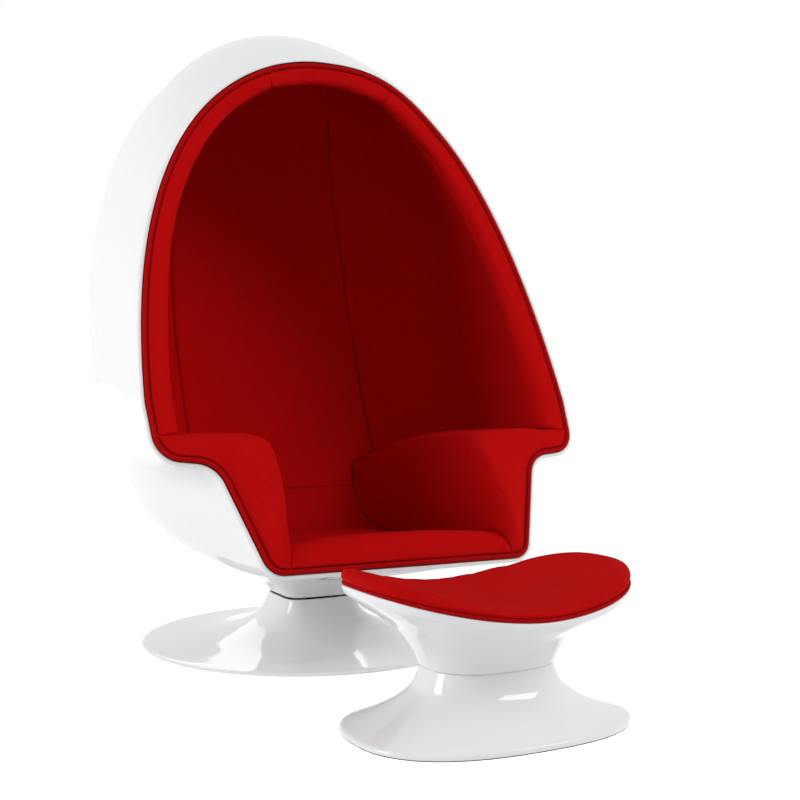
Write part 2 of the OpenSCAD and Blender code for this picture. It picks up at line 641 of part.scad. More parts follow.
module trumpet_foot() {
    color("white") difference() {
        skin(concat(
            [for (p = foot_out_shares) foot_ring(p)],
            [for (p = foot_in_shares) foot_ring(p)],
            [ring(shelf_r, shelf_r, 2, shelf_z), ring(shelf_r, shelf_r, 2, shelf_z - shelf_t)],
            [for (p = foot_under_shares) foot_ring(p)]), true);
        four_pegs(shelf_screw_at, 45, shelf_z - 2 * shelf_t, 1.05 * shelf_screw_d, 3 * shelf_t);
    }
}

// Footstool: moulded foot, moulded dish, saddle cushion

stool_n = 2.5;
saddle_n = 1.73;
edge_w = 0.973 * stool_w;
edge_l = 1.067 * stool_l;
waist_w_share = 0.98;
waist_l_share = 0.927;
flange_t = 0.07 * waist_z;
stool_bolt_d = 0.063 * waist_z;
board_t = 0.055 * saddle_z;
ledge_t = 0.025 * saddle_z;
cushion_gap = fit_gap;
screw_share = 0.78;
board_shares = [0.2, 0.5, 0.72, 0.93];
pocket_share = 0.94;
ledge_share = 0.7;

module at_stool() {
    translate([0, -stool_y, 0]) children();
}

// Saddle surface: level across the middle, rising to both sides
function sheet(x) = saddle_z + saddle_rise * pow(abs(x) / edge_w, saddle_n);
function stool_ring(s, f) = ring(s * stool_w, s * stool_l, stool_n, f * waist_z);
function dish_ring(s, f) =
    let (w = s * mix(waist_w_share, 1, f), l = s * mix(waist_l_share, 1, f))
    [for (p = ring(w * edge_w, l * edge_l, stool_n, 0))
        [p[0], p[1], waist_z + (sheet(p[0] / w) - waist_z) * f]];
function flange_ring(s, z) = ring(s * waist_w_share * edge_w, s * waist_l_share * edge_l, stool_n, z);
function sheet_ring(s, dz) =
    [for (p = ring(s * edge_w, s * edge_l, stool_n, 0)) [p[0], p[1], sheet(p[0]) + dz]];

stool_out_shares = [[1, 0.016], [1, 0.06], [0.985, 0.1], [0.92, 0.15], [0.81, 0.242], [0.71, 0.347],
    [0.63, 0.453], [0.53, 0.642], [0.485, 0.83], [0.458, 1]];
stool_in_shares = [[0.32, 1], [0.32, 0.93], [0.43, 0.93], [0.455, 0.8], [0.5, 0.62], [0.6, 0.42],
    [0.685, 0.31], [0.79, 0.2], [0.905, 0.1], [0.975, 0.016]];
dish_out_shares = [[0.486, 0], [0.512, 0.12], [0.562, 0.27], [0.633, 0.42], [0.722, 0.56], [0.875, 0.74],
    [0.972, 0.87], [0.996, 0.94], [1, 1]];
dish_in_shares = [[0.8, 0.7], [0.69, 0.56], [0.602, 0.42], [0.532, 0.27], [0.486, 0.14]];
flange_out_share = 0.445;
flange_in_share = 0.336;

module at_bolts() {
    for (x = [-1, 1]) for (y = [-1, 1]) translate([0.3 * stool_w * x, 0.294 * stool_l * y, 0]) children();
}

module at_screws() {
    tilt = atan(saddle_n * saddle_rise * pow(screw_share, saddle_n - 1) / edge_w);
    for (x = [-1, 1]) translate([screw_share * edge_w * x, 0, sheet(screw_share * edge_w)])
        rotate([0, -tilt * x, 0]) children();
    for (y = [-1, 1]) translate([0, screw_share * edge_l * y, saddle_z]) children();
}

module peg(z, d, h) {
    translate([0, 0, z]) cylinder(d = d, h = h, $fn = 24);
}

module stool_foot() {
    color("white") at_stool() difference() {
        skin([for (p = concat(stool_out_shares, stool_in_shares)) stool_ring(p[0], p[1])], true);
        at_bolts() peg(waist_z - 2 * flange_t, 1.05 * stool_bolt_d, 3 * flange_t);
    }
}

module stool_dish() {
    color("white") at_stool() difference() {
        skin(concat(
            [for (p = dish_out_shares) dish_ring(p[0], p[1])],
            [sheet_ring(pocket_share, 0), sheet_ring(pocket_share, -board_t), sheet_ring(ledge_share, -board_t),
                sheet_ring(ledge_share, -board_t - ledge_t), sheet_ring(1.2 * ledge_share, -board_t - ledge_t)],
            [for (p = dish_in_shares) dish_ring(p[0], p[1])],
            [flange_ring(flange_out_share, waist_z + flange_t),
                flange_ring(flange_in_share, waist_z + flange_t),
                flange_ring(flange_in_share, waist_z)]), true);
        at_bolts() peg(waist_z - flange_t, 1.05 * stool_bolt_d, 3 * flange_t);
        at_screws() peg(-2 * board_t, 0.7 * stool_bolt_d, 1.5 * board_t);
    }
}

module stool_bolts() {
    h = 0.62 * stool_bolt_d;
    color("silver") at_stool() at_bolts() {
        translate([0, 0, waist_z - flange_t - h]) cylinder(d = 1.8 * stool_bolt_d, h = h, $fn = 6);
        peg(waist_z - flange_t, stool_bolt_d, 2 * flange_t + 1.2 * stool_bolt_d);
    }
}

module stool_nuts() {
    color("silver") at_stool() at_bolts() translate([0, 0, waist_z + flange_t]) difference() {
        cylinder(d = 1.8 * stool_bolt_d, h = 0.85 * stool_bolt_d, $fn = 6);
        peg(-cut, 1.02 * stool_bolt_d, stool_bolt_d + 2 * cut);
    }
}

module stool_board() {
    color("burlywood") at_stool() difference() {
        skin(concat(
            [for (s = board_shares) sheet_ring(s, 2 * cushion_gap - board_t)],
            [for (s = rev(board_shares)) sheet_ring(s, -cushion_gap)]), false);
        at_screws() peg(-1.3 * board_t, 0.7 * stool_bolt_d, board_t);
    }
}

module stool_screws() {
    color("silver") at_stool() at_screws() {
        peg(-board_t - 1.47 * ledge_t, 1.4 * stool_bolt_d, 0.4 * ledge_t);
        peg(-board_t - 1.3 * ledge_t, 0.68 * stool_bolt_d, 0.6 * board_t + 1.3 * ledge_t);
    }
}

// Cushion: [reach, share of the way from the welt up to the crown], thicker towards its two ends
cushion_h = 0.08 * saddle_z;
skirt_h = 0.0325 * saddle_z;
tip_share = 1;
cushion_shares = [[0.972, 0], [0.987, 0.03], [0.998, 0.15], [1.001, 0.35], [0.994, 0.58], [0.975, 0.8],
    [0.9, 0.95], [0.5, 1.03], [0.2, 1.06]];
function cushion_ring(s, f) = [for (p = ring(s * edge_w, s * edge_l, stool_n, 0))
    [p[0], p[1], sheet(p[0]) + mix(skirt_h, cushion_h * (1 + tip_share * pow(p[0] / edge_w, 2)), f)]];

module stool_cushion() {
    color("red") at_stool() skin(concat(
        [for (s = concat(board_shares, 0.965)) sheet_ring(s, cushion_gap)],
        [for (p = cushion_shares) cushion_ring(p[0], p[1])]), false);
}

stool_welt_r = 0.0145 * saddle_z;
module stool_welt() {
    c = sheet_ring(0.988, stool_welt_r + 2 * cushion_gap);
    m = len(c);
    color("firebrick") at_stool() skin([for (i = [0:m - 1])
        let (t = unit(c[(i + 1) % m] - c[(i + m - 1) % m]))
        let (a = unit(cross(t, [0, 0, 1])), b = cross(a, t))
        [for (k = [0:welt_n - 1])
            c[i] + stool_welt_r * (a * cos(deg_all * k / welt_n) + b * sin(deg_all * k / welt_n))]], true);
}

module stool_edge_strip() {
    color("black") at_stool() skin([stool_ring(0.997, 0), stool_ring(0.997, 0.016), stool_ring(0.978, 0.016),
        stool_ring(0.978, 0)], true);
}

outer_shell();
edge_welt();
back_panel();
side_panel_left();
side_panel_right();
arm_pad_left();
arm_pad_right();
seat_cushion();
neck_block();
threaded_inserts();
swivel_plate();
swivel_bolts();
spindle();
retaining_clip();
trumpet_foot();
base_slab();
swivel_hub();
spindle_bush();
thrust_race();
hub_bolts();
hub_nuts();
shelf_screws();
floor_pad();
stool_foot();
stool_dish();
stool_bolts();
stool_nuts();
stool_board();
stool_screws();
stool_cushion();
stool_welt();
stool_edge_strip();
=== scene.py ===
import math
import bpy
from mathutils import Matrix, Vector, noise


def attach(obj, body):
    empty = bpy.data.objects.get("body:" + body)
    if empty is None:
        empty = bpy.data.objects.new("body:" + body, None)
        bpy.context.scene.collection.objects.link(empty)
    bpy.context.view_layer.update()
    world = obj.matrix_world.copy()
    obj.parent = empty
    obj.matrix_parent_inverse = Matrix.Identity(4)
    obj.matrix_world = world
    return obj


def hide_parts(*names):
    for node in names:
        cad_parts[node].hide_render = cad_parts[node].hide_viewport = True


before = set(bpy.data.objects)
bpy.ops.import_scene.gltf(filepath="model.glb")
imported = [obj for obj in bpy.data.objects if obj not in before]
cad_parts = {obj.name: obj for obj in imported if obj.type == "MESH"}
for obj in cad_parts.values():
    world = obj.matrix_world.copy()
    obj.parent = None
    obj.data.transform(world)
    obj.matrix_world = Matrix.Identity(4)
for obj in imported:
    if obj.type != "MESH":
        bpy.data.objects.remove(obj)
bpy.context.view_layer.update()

scene = bpy.context.scene
scene.view_settings.view_transform = "Standard"


# Camera: a 50 mm lens, level on a low tripod half a metre above the floor,
# standing to the left of the opening.
eye_place = (-0.8988, -2.1669, 0.4967)
eye_turn = math.radians(-27.11)
lens = bpy.data.cameras.new("camera")
lens.lens = 50
lens.sensor_width = 36
camera = bpy.data.objects.new("camera", lens)
camera.location = eye_place
camera.rotation_euler = (math.radians(90), 0, eye_turn)
scene.collection.objects.link(camera)
scene.camera = camera


# Studio: a matt white floor that runs into a white backdrop. Both show white
# behind the object and in its gloss, and light it no more than the room does.
def paint(code):
    """An sRGB hex colour as the linear values that the shaders take."""
    parts = [int(code[k:k + 2], 16) / 255 for k in (0, 2, 4)]
    return tuple(c / 12.92 if c <= 0.04045 else ((c + 0.055) / 1.055) ** 2.4 for c in parts) + (1,)


def per(mm):
    """How often a pattern with grains or gaps of so many millimetres repeats in a metre."""
    return 1000 / mm


def add(tree, kind, inputs=None, **settings):
    """A shader node with its settings, and its inputs set or linked."""
    made = tree.nodes.new("ShaderNode" + kind)
    for name, value in settings.items():
        setattr(made, name, value)
    for name, value in (inputs or {}).items():
        if isinstance(value, bpy.types.NodeSocket):
            tree.links.new(value, made.inputs[name])
        else:
            made.inputs[name].default_value = value
    return made


def finish_named(name):
    """An empty material tree with that finish's name, and the place on the object in it."""
    made = bpy.data.materials.new(name)
    made.use_nodes = True
    made.node_tree.nodes.clear()
    return made, made.node_tree, add(made.node_tree, "TexCoord").outputs["Object"]


def shown(tree):
    """1 on rays that go to the lens, also off gloss or through glass, and 0 on rays that light things."""
    rays = add(tree, "LightPath").outputs
    seen = add(tree, "Math", {0: rays["Is Camera Ray"], 1: rays["Is Glossy Ray"]}, operation="MAXIMUM")
    seen = add(tree, "Math", {0: seen.outputs[0], 1: rays["Is Transmission Ray"]}, operation="MAXIMUM")
    return seen.outputs[0]


room_light = 0.5
white = (1, 1, 1, 1)
room = bpy.data.worlds.new("white_studio")
room.use_nodes = True
scene.world = room
tree = room.node_tree
tree.nodes.clear()
strength = add(tree, "MapRange", {"Value": shown(tree), "To Min": room_light, "To Max": 1.0})
background = add(tree, "Background", {"Color": white, "Strength": strength.outputs["Result"]})
add(tree, "OutputWorld", {"Surface": background.outputs[0]})

# The floor's paint has faint clouds in it, metres wide. Its glow, which only the lens and
# gloss see, is low near the object to keep its shadow, and nearly white from far_m on.
near_m, far_m, near_glow, far_glow = 1.3, 4.5, 0.5, 0.86
matt_floor, tree, place = finish_named("matt_white_studio_floor")
clouds = add(tree, "TexNoise", {"Vector": place, "Scale": per(8900), "Detail": 3.0})
tone = add(tree, "MapRange", {"Value": clouds.outputs["Fac"], "To Min": 0.93, "To Max": 0.95})
matt = add(tree, "BsdfDiffuse", {"Color": tone.outputs["Result"]})
far = add(tree, "VectorMath", {0: place}, operation="LENGTH")
fade = add(tree, "MapRange", {"Value": far.outputs["Value"], "From Min": near_m, "From Max": far_m,
                              "To Min": near_glow, "To Max": far_glow})
lift = add(tree, "Math", {0: shown(tree), 1: fade.outputs["Result"]}, operation="MULTIPLY")
glow = add(tree, "Emission", {"Color": white, "Strength": lift.outputs[0]})
both = add(tree, "AddShader", {0: matt.outputs[0], 1: glow.outputs[0]})
add(tree, "OutputMaterial", {"Surface": both.outputs[0]})

reach = 40.0
floor_corners = [(-reach, -reach, 0), (reach, -reach, 0), (reach, reach, 0), (-reach, reach, 0)]
floor_sheet = bpy.data.meshes.new("studio_floor")
floor_sheet.from_pydata(floor_corners, [], [(0, 1, 2, 3)])
floor_sheet.materials.append(matt_floor)
studio_floor = bpy.data.objects.new("studio_floor", floor_sheet)
scene.collection.objects.link(studio_floor)


def softbox(name, place, aim, size, watts, mirrored=True):
    """A rectangular softbox that faces the point aim. A feathered one leaves no mirror image."""
    box = bpy.data.lights.new(name, "AREA")
    box.shape = "RECTANGLE"
    box.size, box.size_y = size
    box.energy = watts
    lamp = bpy.data.objects.new(name, box)
    lamp.location = place
    lamp.rotation_euler = (Vector(aim) - Vector(place)).to_track_quat("-Z", "Y").to_euler()
    lamp.visible_glossy = mirrored
    scene.collection.objects.link(lamp)


softbox("softbox_left", (-3.2, -0.2, 1.5), (0, 0, 0.6), (1.4, 2.2), 54)
softbox("softbox_right", (2.3, -3.0, 2.8), (0, -0.1, 0.7), (1.5, 1.0), 27)
softbox("softbox_high", (2.4, -2.4, 2.8), (0, -0.2, 0.6), (2.6, 2.6), 53, mirrored=False)
softbox("softbox_rear", (0.8, 3.2, 2.0), (0, 0, 0.6), (1.8, 1.4), 10)


# Pod shell: one glass-fibre moulding 8 mm thick, laid up in a polished mould behind a
# white gel coat. The lip of its notched opening is sanded round, and the neck under
# the belly is moulded on and takes the swivel's bolts.
def mix(a, b, t):
    return a + (b - a) * t


# Half widths end in _w, heights above the floor in _z, thicknesses in _t, radii in _r,
# depths inside the shell's outer face in _d, and powers that make a curve fuller in _n.
# All of them but the powers are in metres.
shell_w, shell_mid, shell_top, shell_low = 0.440, 0.640, 1.326, 0.147
shell_back, shell_t = 0.335, 0.008
bulge_up, bulge_low = 1.93, 2.76
shell_lean = 0.344
shell_mid_y = 0.107 * shell_w
level_z = 0.9375 * shell_mid


def mid_y(z):
    """Depth of the shell's widest outline at height z: it leans back as it rises."""
    return shell_mid_y + shell_lean * (z - level_z)


def half_h(b, d):
    """Height of the shell above its widest level (b >= 0) or below it, for a layer d inside its face."""
    return (shell_top - shell_mid if b >= 0 else shell_mid - shell_low) - d


def gauge(a, b):
    """1 on the shell's widest outline and 0 at its middle; a and b are shares of its half sizes."""
    n = bulge_up if b >= 0 else bulge_low
    return (abs(a) ** n + abs(b) ** n) ** (1 / n)


def back_point(a, b, d):
    """A point on the back half of the shell, d inside its outer face."""
    g = min(1.0, gauge(a, b))
    z = shell_mid + b * half_h(b, d)
    deep = shell_back - d - mid_y(shell_mid)
    return Vector((a * (shell_w - d), mid_y(z) + deep * math.sqrt(max(0.0, 1 - g * g)), z))


rim_w, rim_mid, rim_rise, arch_n = 0.429, 0.405, 0.767, 2.35
notch_z, notch_w, lip_w, lip_z = 0.399, 0.319, 0.253, 0.205
lip_end = 0.506 * rim_w
arch_seam_share, arch_end_share = 0.3217, 0.1164
arch_end_z = rim_mid + arch_end_share * rim_rise
arch_a = math.asin(arch_seam_share ** (arch_n / 2))
arch_b = math.acos(arch_end_share ** (arch_n / 2))


def arch_point(angle):
    s, c = max(0.0, math.sin(angle)), max(0.0, math.cos(angle))
    return Vector((rim_w * s ** (2 / arch_n), rim_mid + rim_rise * c ** (2 / arch_n)))


def corner(a, b, c, r):
    """The arc of radius r that rounds the corner b: its middle, first angle and turn."""
    u, v = (a - b).normalized(), (c - b).normalized()
    h = math.acos(u.dot(v)) / 2
    o = b + (u + v).normalized() * r / math.sin(h)
    p, q = b + u * r / math.tan(h) - o, b + v * r / math.tan(h) - o
    first = math.atan2(p.y, p.x)
    turn = (math.atan2(q.y, q.x) - first + math.pi) % (2 * math.pi) - math.pi
    return lambda t: o + r * Vector((math.cos(first + turn * t), math.sin(first + turn * t)))


notch_out = Vector((0.977 * rim_w, 0.995 * notch_z))
notch_in = Vector((notch_w, 0.97 * notch_z))
lip_out, lip_mid = Vector((lip_w, lip_z)), Vector((0, lip_z))
turn_1 = corner(Vector((rim_w, arch_end_z)), notch_out, notch_in, 0.112 * rim_w)
turn_2 = corner(notch_out, notch_in, lip_out, 0.121 * rim_w)
turn_3 = corner(notch_in, lip_out, lip_mid, 0.089 * rim_w)

# Stations along half of the opening, from its top: the upper seam, the arm, the seat's
# seam and the middle of the lip, and the stretches between them with their last stations.
cross_u, arm_u, seat_u, half_u, full_u = 4, 19, 36, 39, 78
stretches = [
    (cross_u, lambda t: arch_point(arch_a * t)),
    (18, lambda t: arch_point(mix(arch_a, arch_b, t))),
    (arm_u, lambda t: mix(arch_point(arch_b), turn_1(0), t)),
    (23, turn_1),
    (24, lambda t: mix(turn_1(1), turn_2(0), t)),
    (28, turn_2),
    (31, lambda t: mix(turn_2(1), turn_3(0), t)),
    (35, turn_3),
    (seat_u, lambda t: mix(turn_3(1), Vector((lip_end, lip_z)), t)),
    (half_u, lambda t: Vector((lip_end * (1 - t), lip_z))),
]


def rim_2d(u):
    """The outline of the opening seen from the front, at station u."""
    u %= full_u
    if u > half_u:
        p = rim_2d(full_u - u)
        return Vector((-p.x, p.y))
    first = 0
    for last, stretch in stretches:
        if u <= last:
            return stretch((u - first) / (last - first))
        first = last


def rim_inward(u):
    t = (rim_2d(u + 1) - rim_2d(u - 1)).normalized()
    return Vector((t.y, -t.x))


rim_front, rim_lean, rim_bend, rim_twist = -0.256, 0.4405, -0.129, -0.1824
curl, curl_from, curl_over = -0.0311, 1.06, 0.11


def rim_y(z):
    """Depth of the opening at height z: it leans back and curls forward at the top."""
    t = z - level_z
    c = max(0.0, z - curl_from) / curl_over
    return rim_front + rim_lean * t + rim_bend * t * t + rim_twist * t ** 3 + curl * c * c


def wide(u):
    """Direction from the middle of the egg through the opening's station u."""
    p = rim_2d(u)
    a, b = p.x / shell_w, (p.y - shell_mid) / half_h(p.y - shell_mid, 0)
    g = gauge(a, b)
    return Vector((a / g, b / g))


def front_point(u, t, d, q=None):
    """A point d inside the shell's face, between the opening (t = 0) and the widest outline
    in direction q (t = 1)."""
    r = rim_2d(u) + (d - shell_t) * rim_inward(u)
    q = q or wide(u)
    m = Vector((q.x * (shell_w - d), shell_mid + q.y * half_h(q.y, d)))
    k = (1 - t) * (1 - t)
    return Vector((mix(m.x, r.x, k), mix(rim_y(rim_2d(u).y), mid_y(m.y), t), mix(m.y, r.y, k)))


def steps(first, last, count):
    return [first + (last - first) * k / count for k in range(count + 1)]


def as_object(name, points, quads, where, material):
    """A smooth mesh object. where gives each corner's place on the cloth or sheet, in metres."""
    sheet = bpy.data.meshes.new(name)
    sheet.from_pydata(points, [], quads)
    marks = sheet.uv_layers.new(name="UVMap")
    flat = [p for face in where for p in face]
    for corner_mark, spot in zip(marks.data, flat):
        corner_mark.uv = spot
    for face in sheet.polygons:
        face.use_smooth = True
    sheet.materials.append(material)
    sheet.validate()
    made = bpy.data.objects.new(name, sheet)
    scene.collection.objects.link(made)
    return made


def rings_to_object(name, rings, material, loop=False):
    """A solid skinned over rings of points. Its ends are capped, or joined to make a loop."""
    n, m = len(rings), len(rings[0])
    cap_mark = 0.01
    points = [p for ring in rings for p in ring]
    far = [0.0]
    for r in range(1, n + 1):
        far.append(far[-1] + (rings[r % n][0] - rings[r - 1][0]).length)
    round_it = [[0.0] for _ in rings]
    for r in range(n):
        for k in range(1, m + 1):
            round_it[r].append(round_it[r][-1] + (rings[r][k % m] - rings[r][k - 1]).length)
    faces, where = [], []
    for r in range(n if loop else n - 1):
        s = (r + 1) % n
        for k in range(m):
            j = (k + 1) % m
            faces.append((r * m + k, r * m + j, s * m + j, s * m + k))
            where.append([(round_it[r][k], far[r]), (round_it[r][k + 1], far[r]),
                          (round_it[s][k + 1], far[r + 1]), (round_it[s][k], far[r + 1])])
    if not loop:
        for r, flip in ((0, True), (n - 1, False)):
            hub = len(points)
            points.append(sum((p for p in rings[r]), Vector()) / m)
            for k in range(m):
                j = (k + 1) % m
                faces.append((hub, r * m + j, r * m + k) if flip else (hub, r * m + k, r * m + j))
                where.append([(0, 0), (round_it[r][k + 1], cap_mark), (round_it[r][k], cap_mark)])
    return as_object(name, points, faces, where, material)


# White polyester gel coat, polished: a sharp clear reflection over a body colour that
# is even, with a faint ripple from the mould and a little dulling where hands rub it.
gel_coat, tree, place = finish_named("polished_white_gel_coat")
patches = add(tree, "TexNoise", {"Vector": place, "Scale": per(333), "Detail": 2.0})
body = add(tree, "MixRGB", {"Fac": patches.outputs["Fac"], "Color1": paint("E1E2E4"),
                            "Color2": paint("E7E7E8")})
rubbed = add(tree, "TexNoise", {"Vector": place, "Scale": per(26.3), "Detail": 5.0, "Roughness": 0.65})
dull = add(tree, "MapRange", {"Value": rubbed.outputs["Fac"], "From Min": 0.35, "From Max": 0.8,
                              "To Min": 0.03, "To Max": 0.09})
ripple = add(tree, "TexNoise", {"Vector": place, "Scale": per(38.5), "Detail": 1.0})
skin = add(tree, "Bump", {"Height": ripple.outputs["Fac"], "Strength": 0.15, "Distance": 0.0006})
gloss = add(tree, "BsdfPrincipled", {"Base Color": body.outputs["Color"], "IOR": 1.52,
                                     "Roughness": dull.outputs["Result"], "Normal": skin.outputs["Normal"]})
add(tree, "OutputMaterial", {"Surface": gloss.outputs[0]})

shell_us = steps(0, full_u, full_u * 4)[:-1]
shell_ts = [0.022, 0.045, 0.075, 0.11, 0.15, 0.2, 0.26, 0.33, 0.41, 0.5, 0.6, 0.7, 0.8, 0.9, 1.0]
shell_angles = [math.radians(a) for a in steps(6, 86, 20)]

# The sanded lip's rings: how far each lies from its edge, and how deep in the shell's wall.
lip_shares = [(0.0105, 0), (0.0055, 0.0375), (0.0022, 0.1375), (0, 0.3375),
              (0, 0.6625), (0.0022, 0.8625), (0.0055, 0.9625), (0.0105, 1)]


def back_ring(angle, d):
    return [back_point(*(wide(u) * math.cos(angle)), d) for u in shell_us]


def front_ring(t, d):
    return [front_point(u, t, d) for u in shell_us]


egg = [back_ring(a, 0) for a in reversed(shell_angles)]
egg += [front_ring(t, 0) for t in reversed(shell_ts)]
egg += [front_ring(t, share * shell_t) for t, share in lip_shares]
egg += [front_ring(t, shell_t) for t in shell_ts[::2]]
egg += [back_ring(a, shell_t) for a in shell_angles[::2]]
outer_shell = rings_to_object("moulded_shell", egg, gel_coat)
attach(outer_shell, "pod")
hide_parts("outer_shell")


def belly(x, y):
    """Height of the underside of the shell, found in steps because its outline leans."""
    z, h = shell_low, shell_mid - shell_low
    a, front = abs(x) / shell_w, rim_y(lip_z)
    lowest = shell_mid - h * (1 - a ** bulge_low) ** (1 / bulge_low)
    for _ in range(14):
        s = (y - mid_y(z)) / (shell_back - mid_y(shell_mid))
        t = (y - front) / (mid_y(lowest) - front)
        if s > 0:
            hollow = max(0, (1 - min(1, s * s)) ** (bulge_low / 2) - a ** bulge_low)
            found = shell_mid - h * hollow ** (1 / bulge_low)
        else:
            found = lowest + (lip_z - shell_t - lowest) * (1 - t) * (1 - t)
        z = mix(z, found, 0.5)
    return z


def ring(a, b, n, z, count=160, y0=0.0):
    """A rounded square or rectangle at height z."""
    made = []
    for k in range(count):
        c, s = math.cos(2 * math.pi * k / count), math.sin(2 * math.pi * k / count)
        x, y = math.copysign(abs(c) ** (2 / n), c), math.copysign(abs(s) ** (2 / n), s)
        made.append(Vector((a * x, y0 + b * y, z)))
    return made


def through(rows, each):
    """A smooth curve through rows of numbers, with each steps from row to row."""
    made = []
    last = len(rows) - 1
    for k in range(last):
        p0, p1, p2, p3 = rows[max(0, k - 1)], rows[k], rows[k + 1], rows[min(last, k + 2)]
        for s in range(each):
            t = s / each
            made.append([0.5 * (2 * b + (c - a) * t + (2 * a - 5 * b + 4 * c - d) * t * t
                                + (3 * b - a - 3 * c + d) * t ** 3) for a, b, c, d in zip(p0, p1, p2, p3)])
    return made + [list(rows[last])]


foot_h, foot_top_w = 0.092, 0.077
neck_z = 1.041 * foot_h
neck_h = shell_low - neck_z


def neck_ring(reach, height, squareness, drawn_up=0):
    """A ring of the neck; drawn_up blends its height into the underside of the belly."""
    low = neck_z + height * neck_h
    return [Vector((p.x, p.y, mix(low, belly(p.x, p.y), drawn_up)))
            for p in ring(reach * foot_top_w, reach * foot_top_w, squareness, 0)]


def belly_ring(reach, squareness, above):
    """A ring of the neck that follows the belly at that height above its face."""
    return [Vector((p.x, p.y, belly(p.x, p.y) + above))
            for p in ring(reach * foot_top_w, reach * foot_top_w, squareness, 0)]


# The neck's rows: reach, height, squareness, share drawn up to the belly. Its fillet's
# rows: reach, squareness, height above the belly's face in shell walls.
neck_rows = [(0.97, 0.0, 5, 0), (0.995, 0.05, 5, 0), (1.06, 0.2, 4.7, 0), (1.2, 0.4, 4.3, 0.04),
             (1.4, 0.6, 3.7, 0.12), (1.62, 0.75, 3.2, 0.36), (1.86, 0.88, 2.8, 0.7)]
fillet_rows = [(1.97, 2.7, -0.625), (2.08, 2.62, -0.2), (2.2, 2.55, -0.0375), (2.32, 2.5, 0.15),
               (2.1, 2.6, 0.5), (1.98, 2.6, 0.5)]
neck_inner_rows = [(1.74, 0.88, 2.8, 0.7), (1.28, 0.6, 3.7, 0.12), (0.95, 0.2, 4.7, 0)]
neck = [neck_ring(0.9, 0, 4.8), neck_ring(0.955, 0, 5)]
neck += [neck_ring(*row) for row in through(neck_rows, 4)]
neck += [belly_ring(reach, n, share * shell_t) for reach, n, share in fillet_rows]
neck += [neck_ring(*row) for row in neck_inner_rows]
neck.append(neck_ring(0.9, 0.85 * shell_t / neck_h, 4.8))
shell_neck = rings_to_object("moulded_neck", neck, gel_coat)
shell_neck.parent = outer_shell
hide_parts("outer_shell")


# Cover cloth: a dense plain-woven wool, dyed red in the piece and raised a little, so
# single threads hardly show and it looks dull with a soft bloom at a grazing angle.
# Its threads lie 1.3 mm apart; they are drawn 2.6 mm apart so that they show at all.
def bands(mm):
    """The scale at which the bands of a wave texture lie so many millimetres apart."""
    return math.pi / 10 * per(mm)


def woven_wool(name, deep, light, turned=0.0, pitch=2.6):
    """The cloth, with its threads pitch millimetres apart and turned from the cover's edge."""
    made, tree, place = finish_named(name)
    laid = add(tree, "UVMap", uv_map="UVMap")
    cut = add(tree, "Mapping", {"Vector": laid.outputs["UV"], "Rotation": (0, 0, turned)}).outputs["Vector"]
    threads = {"Vector": cut, "Scale": bands(pitch), "Distortion": 0.5, "Detail": 1.0}
    warp = add(tree, "TexWave", threads, wave_type="BANDS", bands_direction="X")
    weft = add(tree, "TexWave", threads, wave_type="BANDS", bands_direction="Y")
    over = add(tree, "TexChecker", {"Vector": cut, "Scale": per(pitch)})
    thread = add(tree, "MixRGB", {"Fac": over.outputs["Fac"], "Color1": warp.outputs["Fac"],
                                  "Color2": weft.outputs["Fac"]})
    fibre = add(tree, "TexNoise", {"Vector": place, "Scale": per(1.61), "Detail": 4.0, "Roughness": 0.7})
    slub = add(tree, "TexNoise", {"Vector": place, "Scale": per(11.76), "Detail": 3.0, "Roughness": 0.6})
    cloudy = add(tree, "TexNoise", {"Vector": place, "Scale": per(143), "Detail": 2.0})
    raised = add(tree, "Math", {0: thread.outputs["Color"], 1: fibre.outputs["Fac"]}, operation="MULTIPLY")
    shade = add(tree, "MapRange", {"Value": raised.outputs[0], "From Min": 0.1, "From Max": 0.6})
    yarn = add(tree, "MixRGB", {"Fac": shade.outputs["Result"], "Color1": paint(deep),
                                "Color2": paint(light)})
    cloud = add(tree, "MapRange", {"Value": cloudy.outputs["Fac"], "To Min": 0.93, "To Max": 1.07})
    dyed = add(tree, "MixRGB", {"Fac": 1.0, "Color1": yarn.outputs["Color"],
                                "Color2": cloud.outputs["Result"]}, blend_type="MULTIPLY")
    fleck = add(tree, "MapRange", {"Value": slub.outputs["Fac"], "From Min": 0.3, "From Max": 0.75,
                                   "To Min": 0.95, "To Max": 1.06})
    flecked = add(tree, "MixRGB", {"Fac": 1.0, "Color1": dyed.outputs["Color"],
                                   "Color2": fleck.outputs["Result"]}, blend_type="MULTIPLY")
    nap = add(tree, "Bump", {"Height": slub.outputs["Fac"], "Strength": 0.35, "Distance": 0.0008})
    weave = add(tree, "Bump", {"Height": raised.outputs[0], "Normal": nap.outputs["Normal"],
                               "Strength": 0.5, "Distance": 0.0005})
    cloth = add(tree, "BsdfPrincipled", {"Base Color": flecked.outputs["Color"], "Roughness": 0.88,
                                         "Specular IOR Level": 0.06, "Normal": weave.outputs["Normal"],
                                         "Sheen Weight": 0.06, "Sheen Roughness": 0.45,
                                         "Sheen Tint": paint("C00C0B")})
    add(tree, "OutputMaterial", {"Surface": cloth.outputs[0]})
    return made


wool = woven_wool("woven_red_wool", "A80506", "C70809")


# Side panels: moulded foam 30 mm thick with a rolled front edge, wrapped in the cover
# cloth, pulled down at the seams and glued into the shell. The left one mirrors the right.
roll_d, liner_d, welt_r = 0.060, 0.038, 0.005
pad_d = 1.5 * shell_t
front_d = 1.15 * shell_t + 2 * welt_r
seam_dip = 0.0055
roll_n, thin_n = 3, 1.55

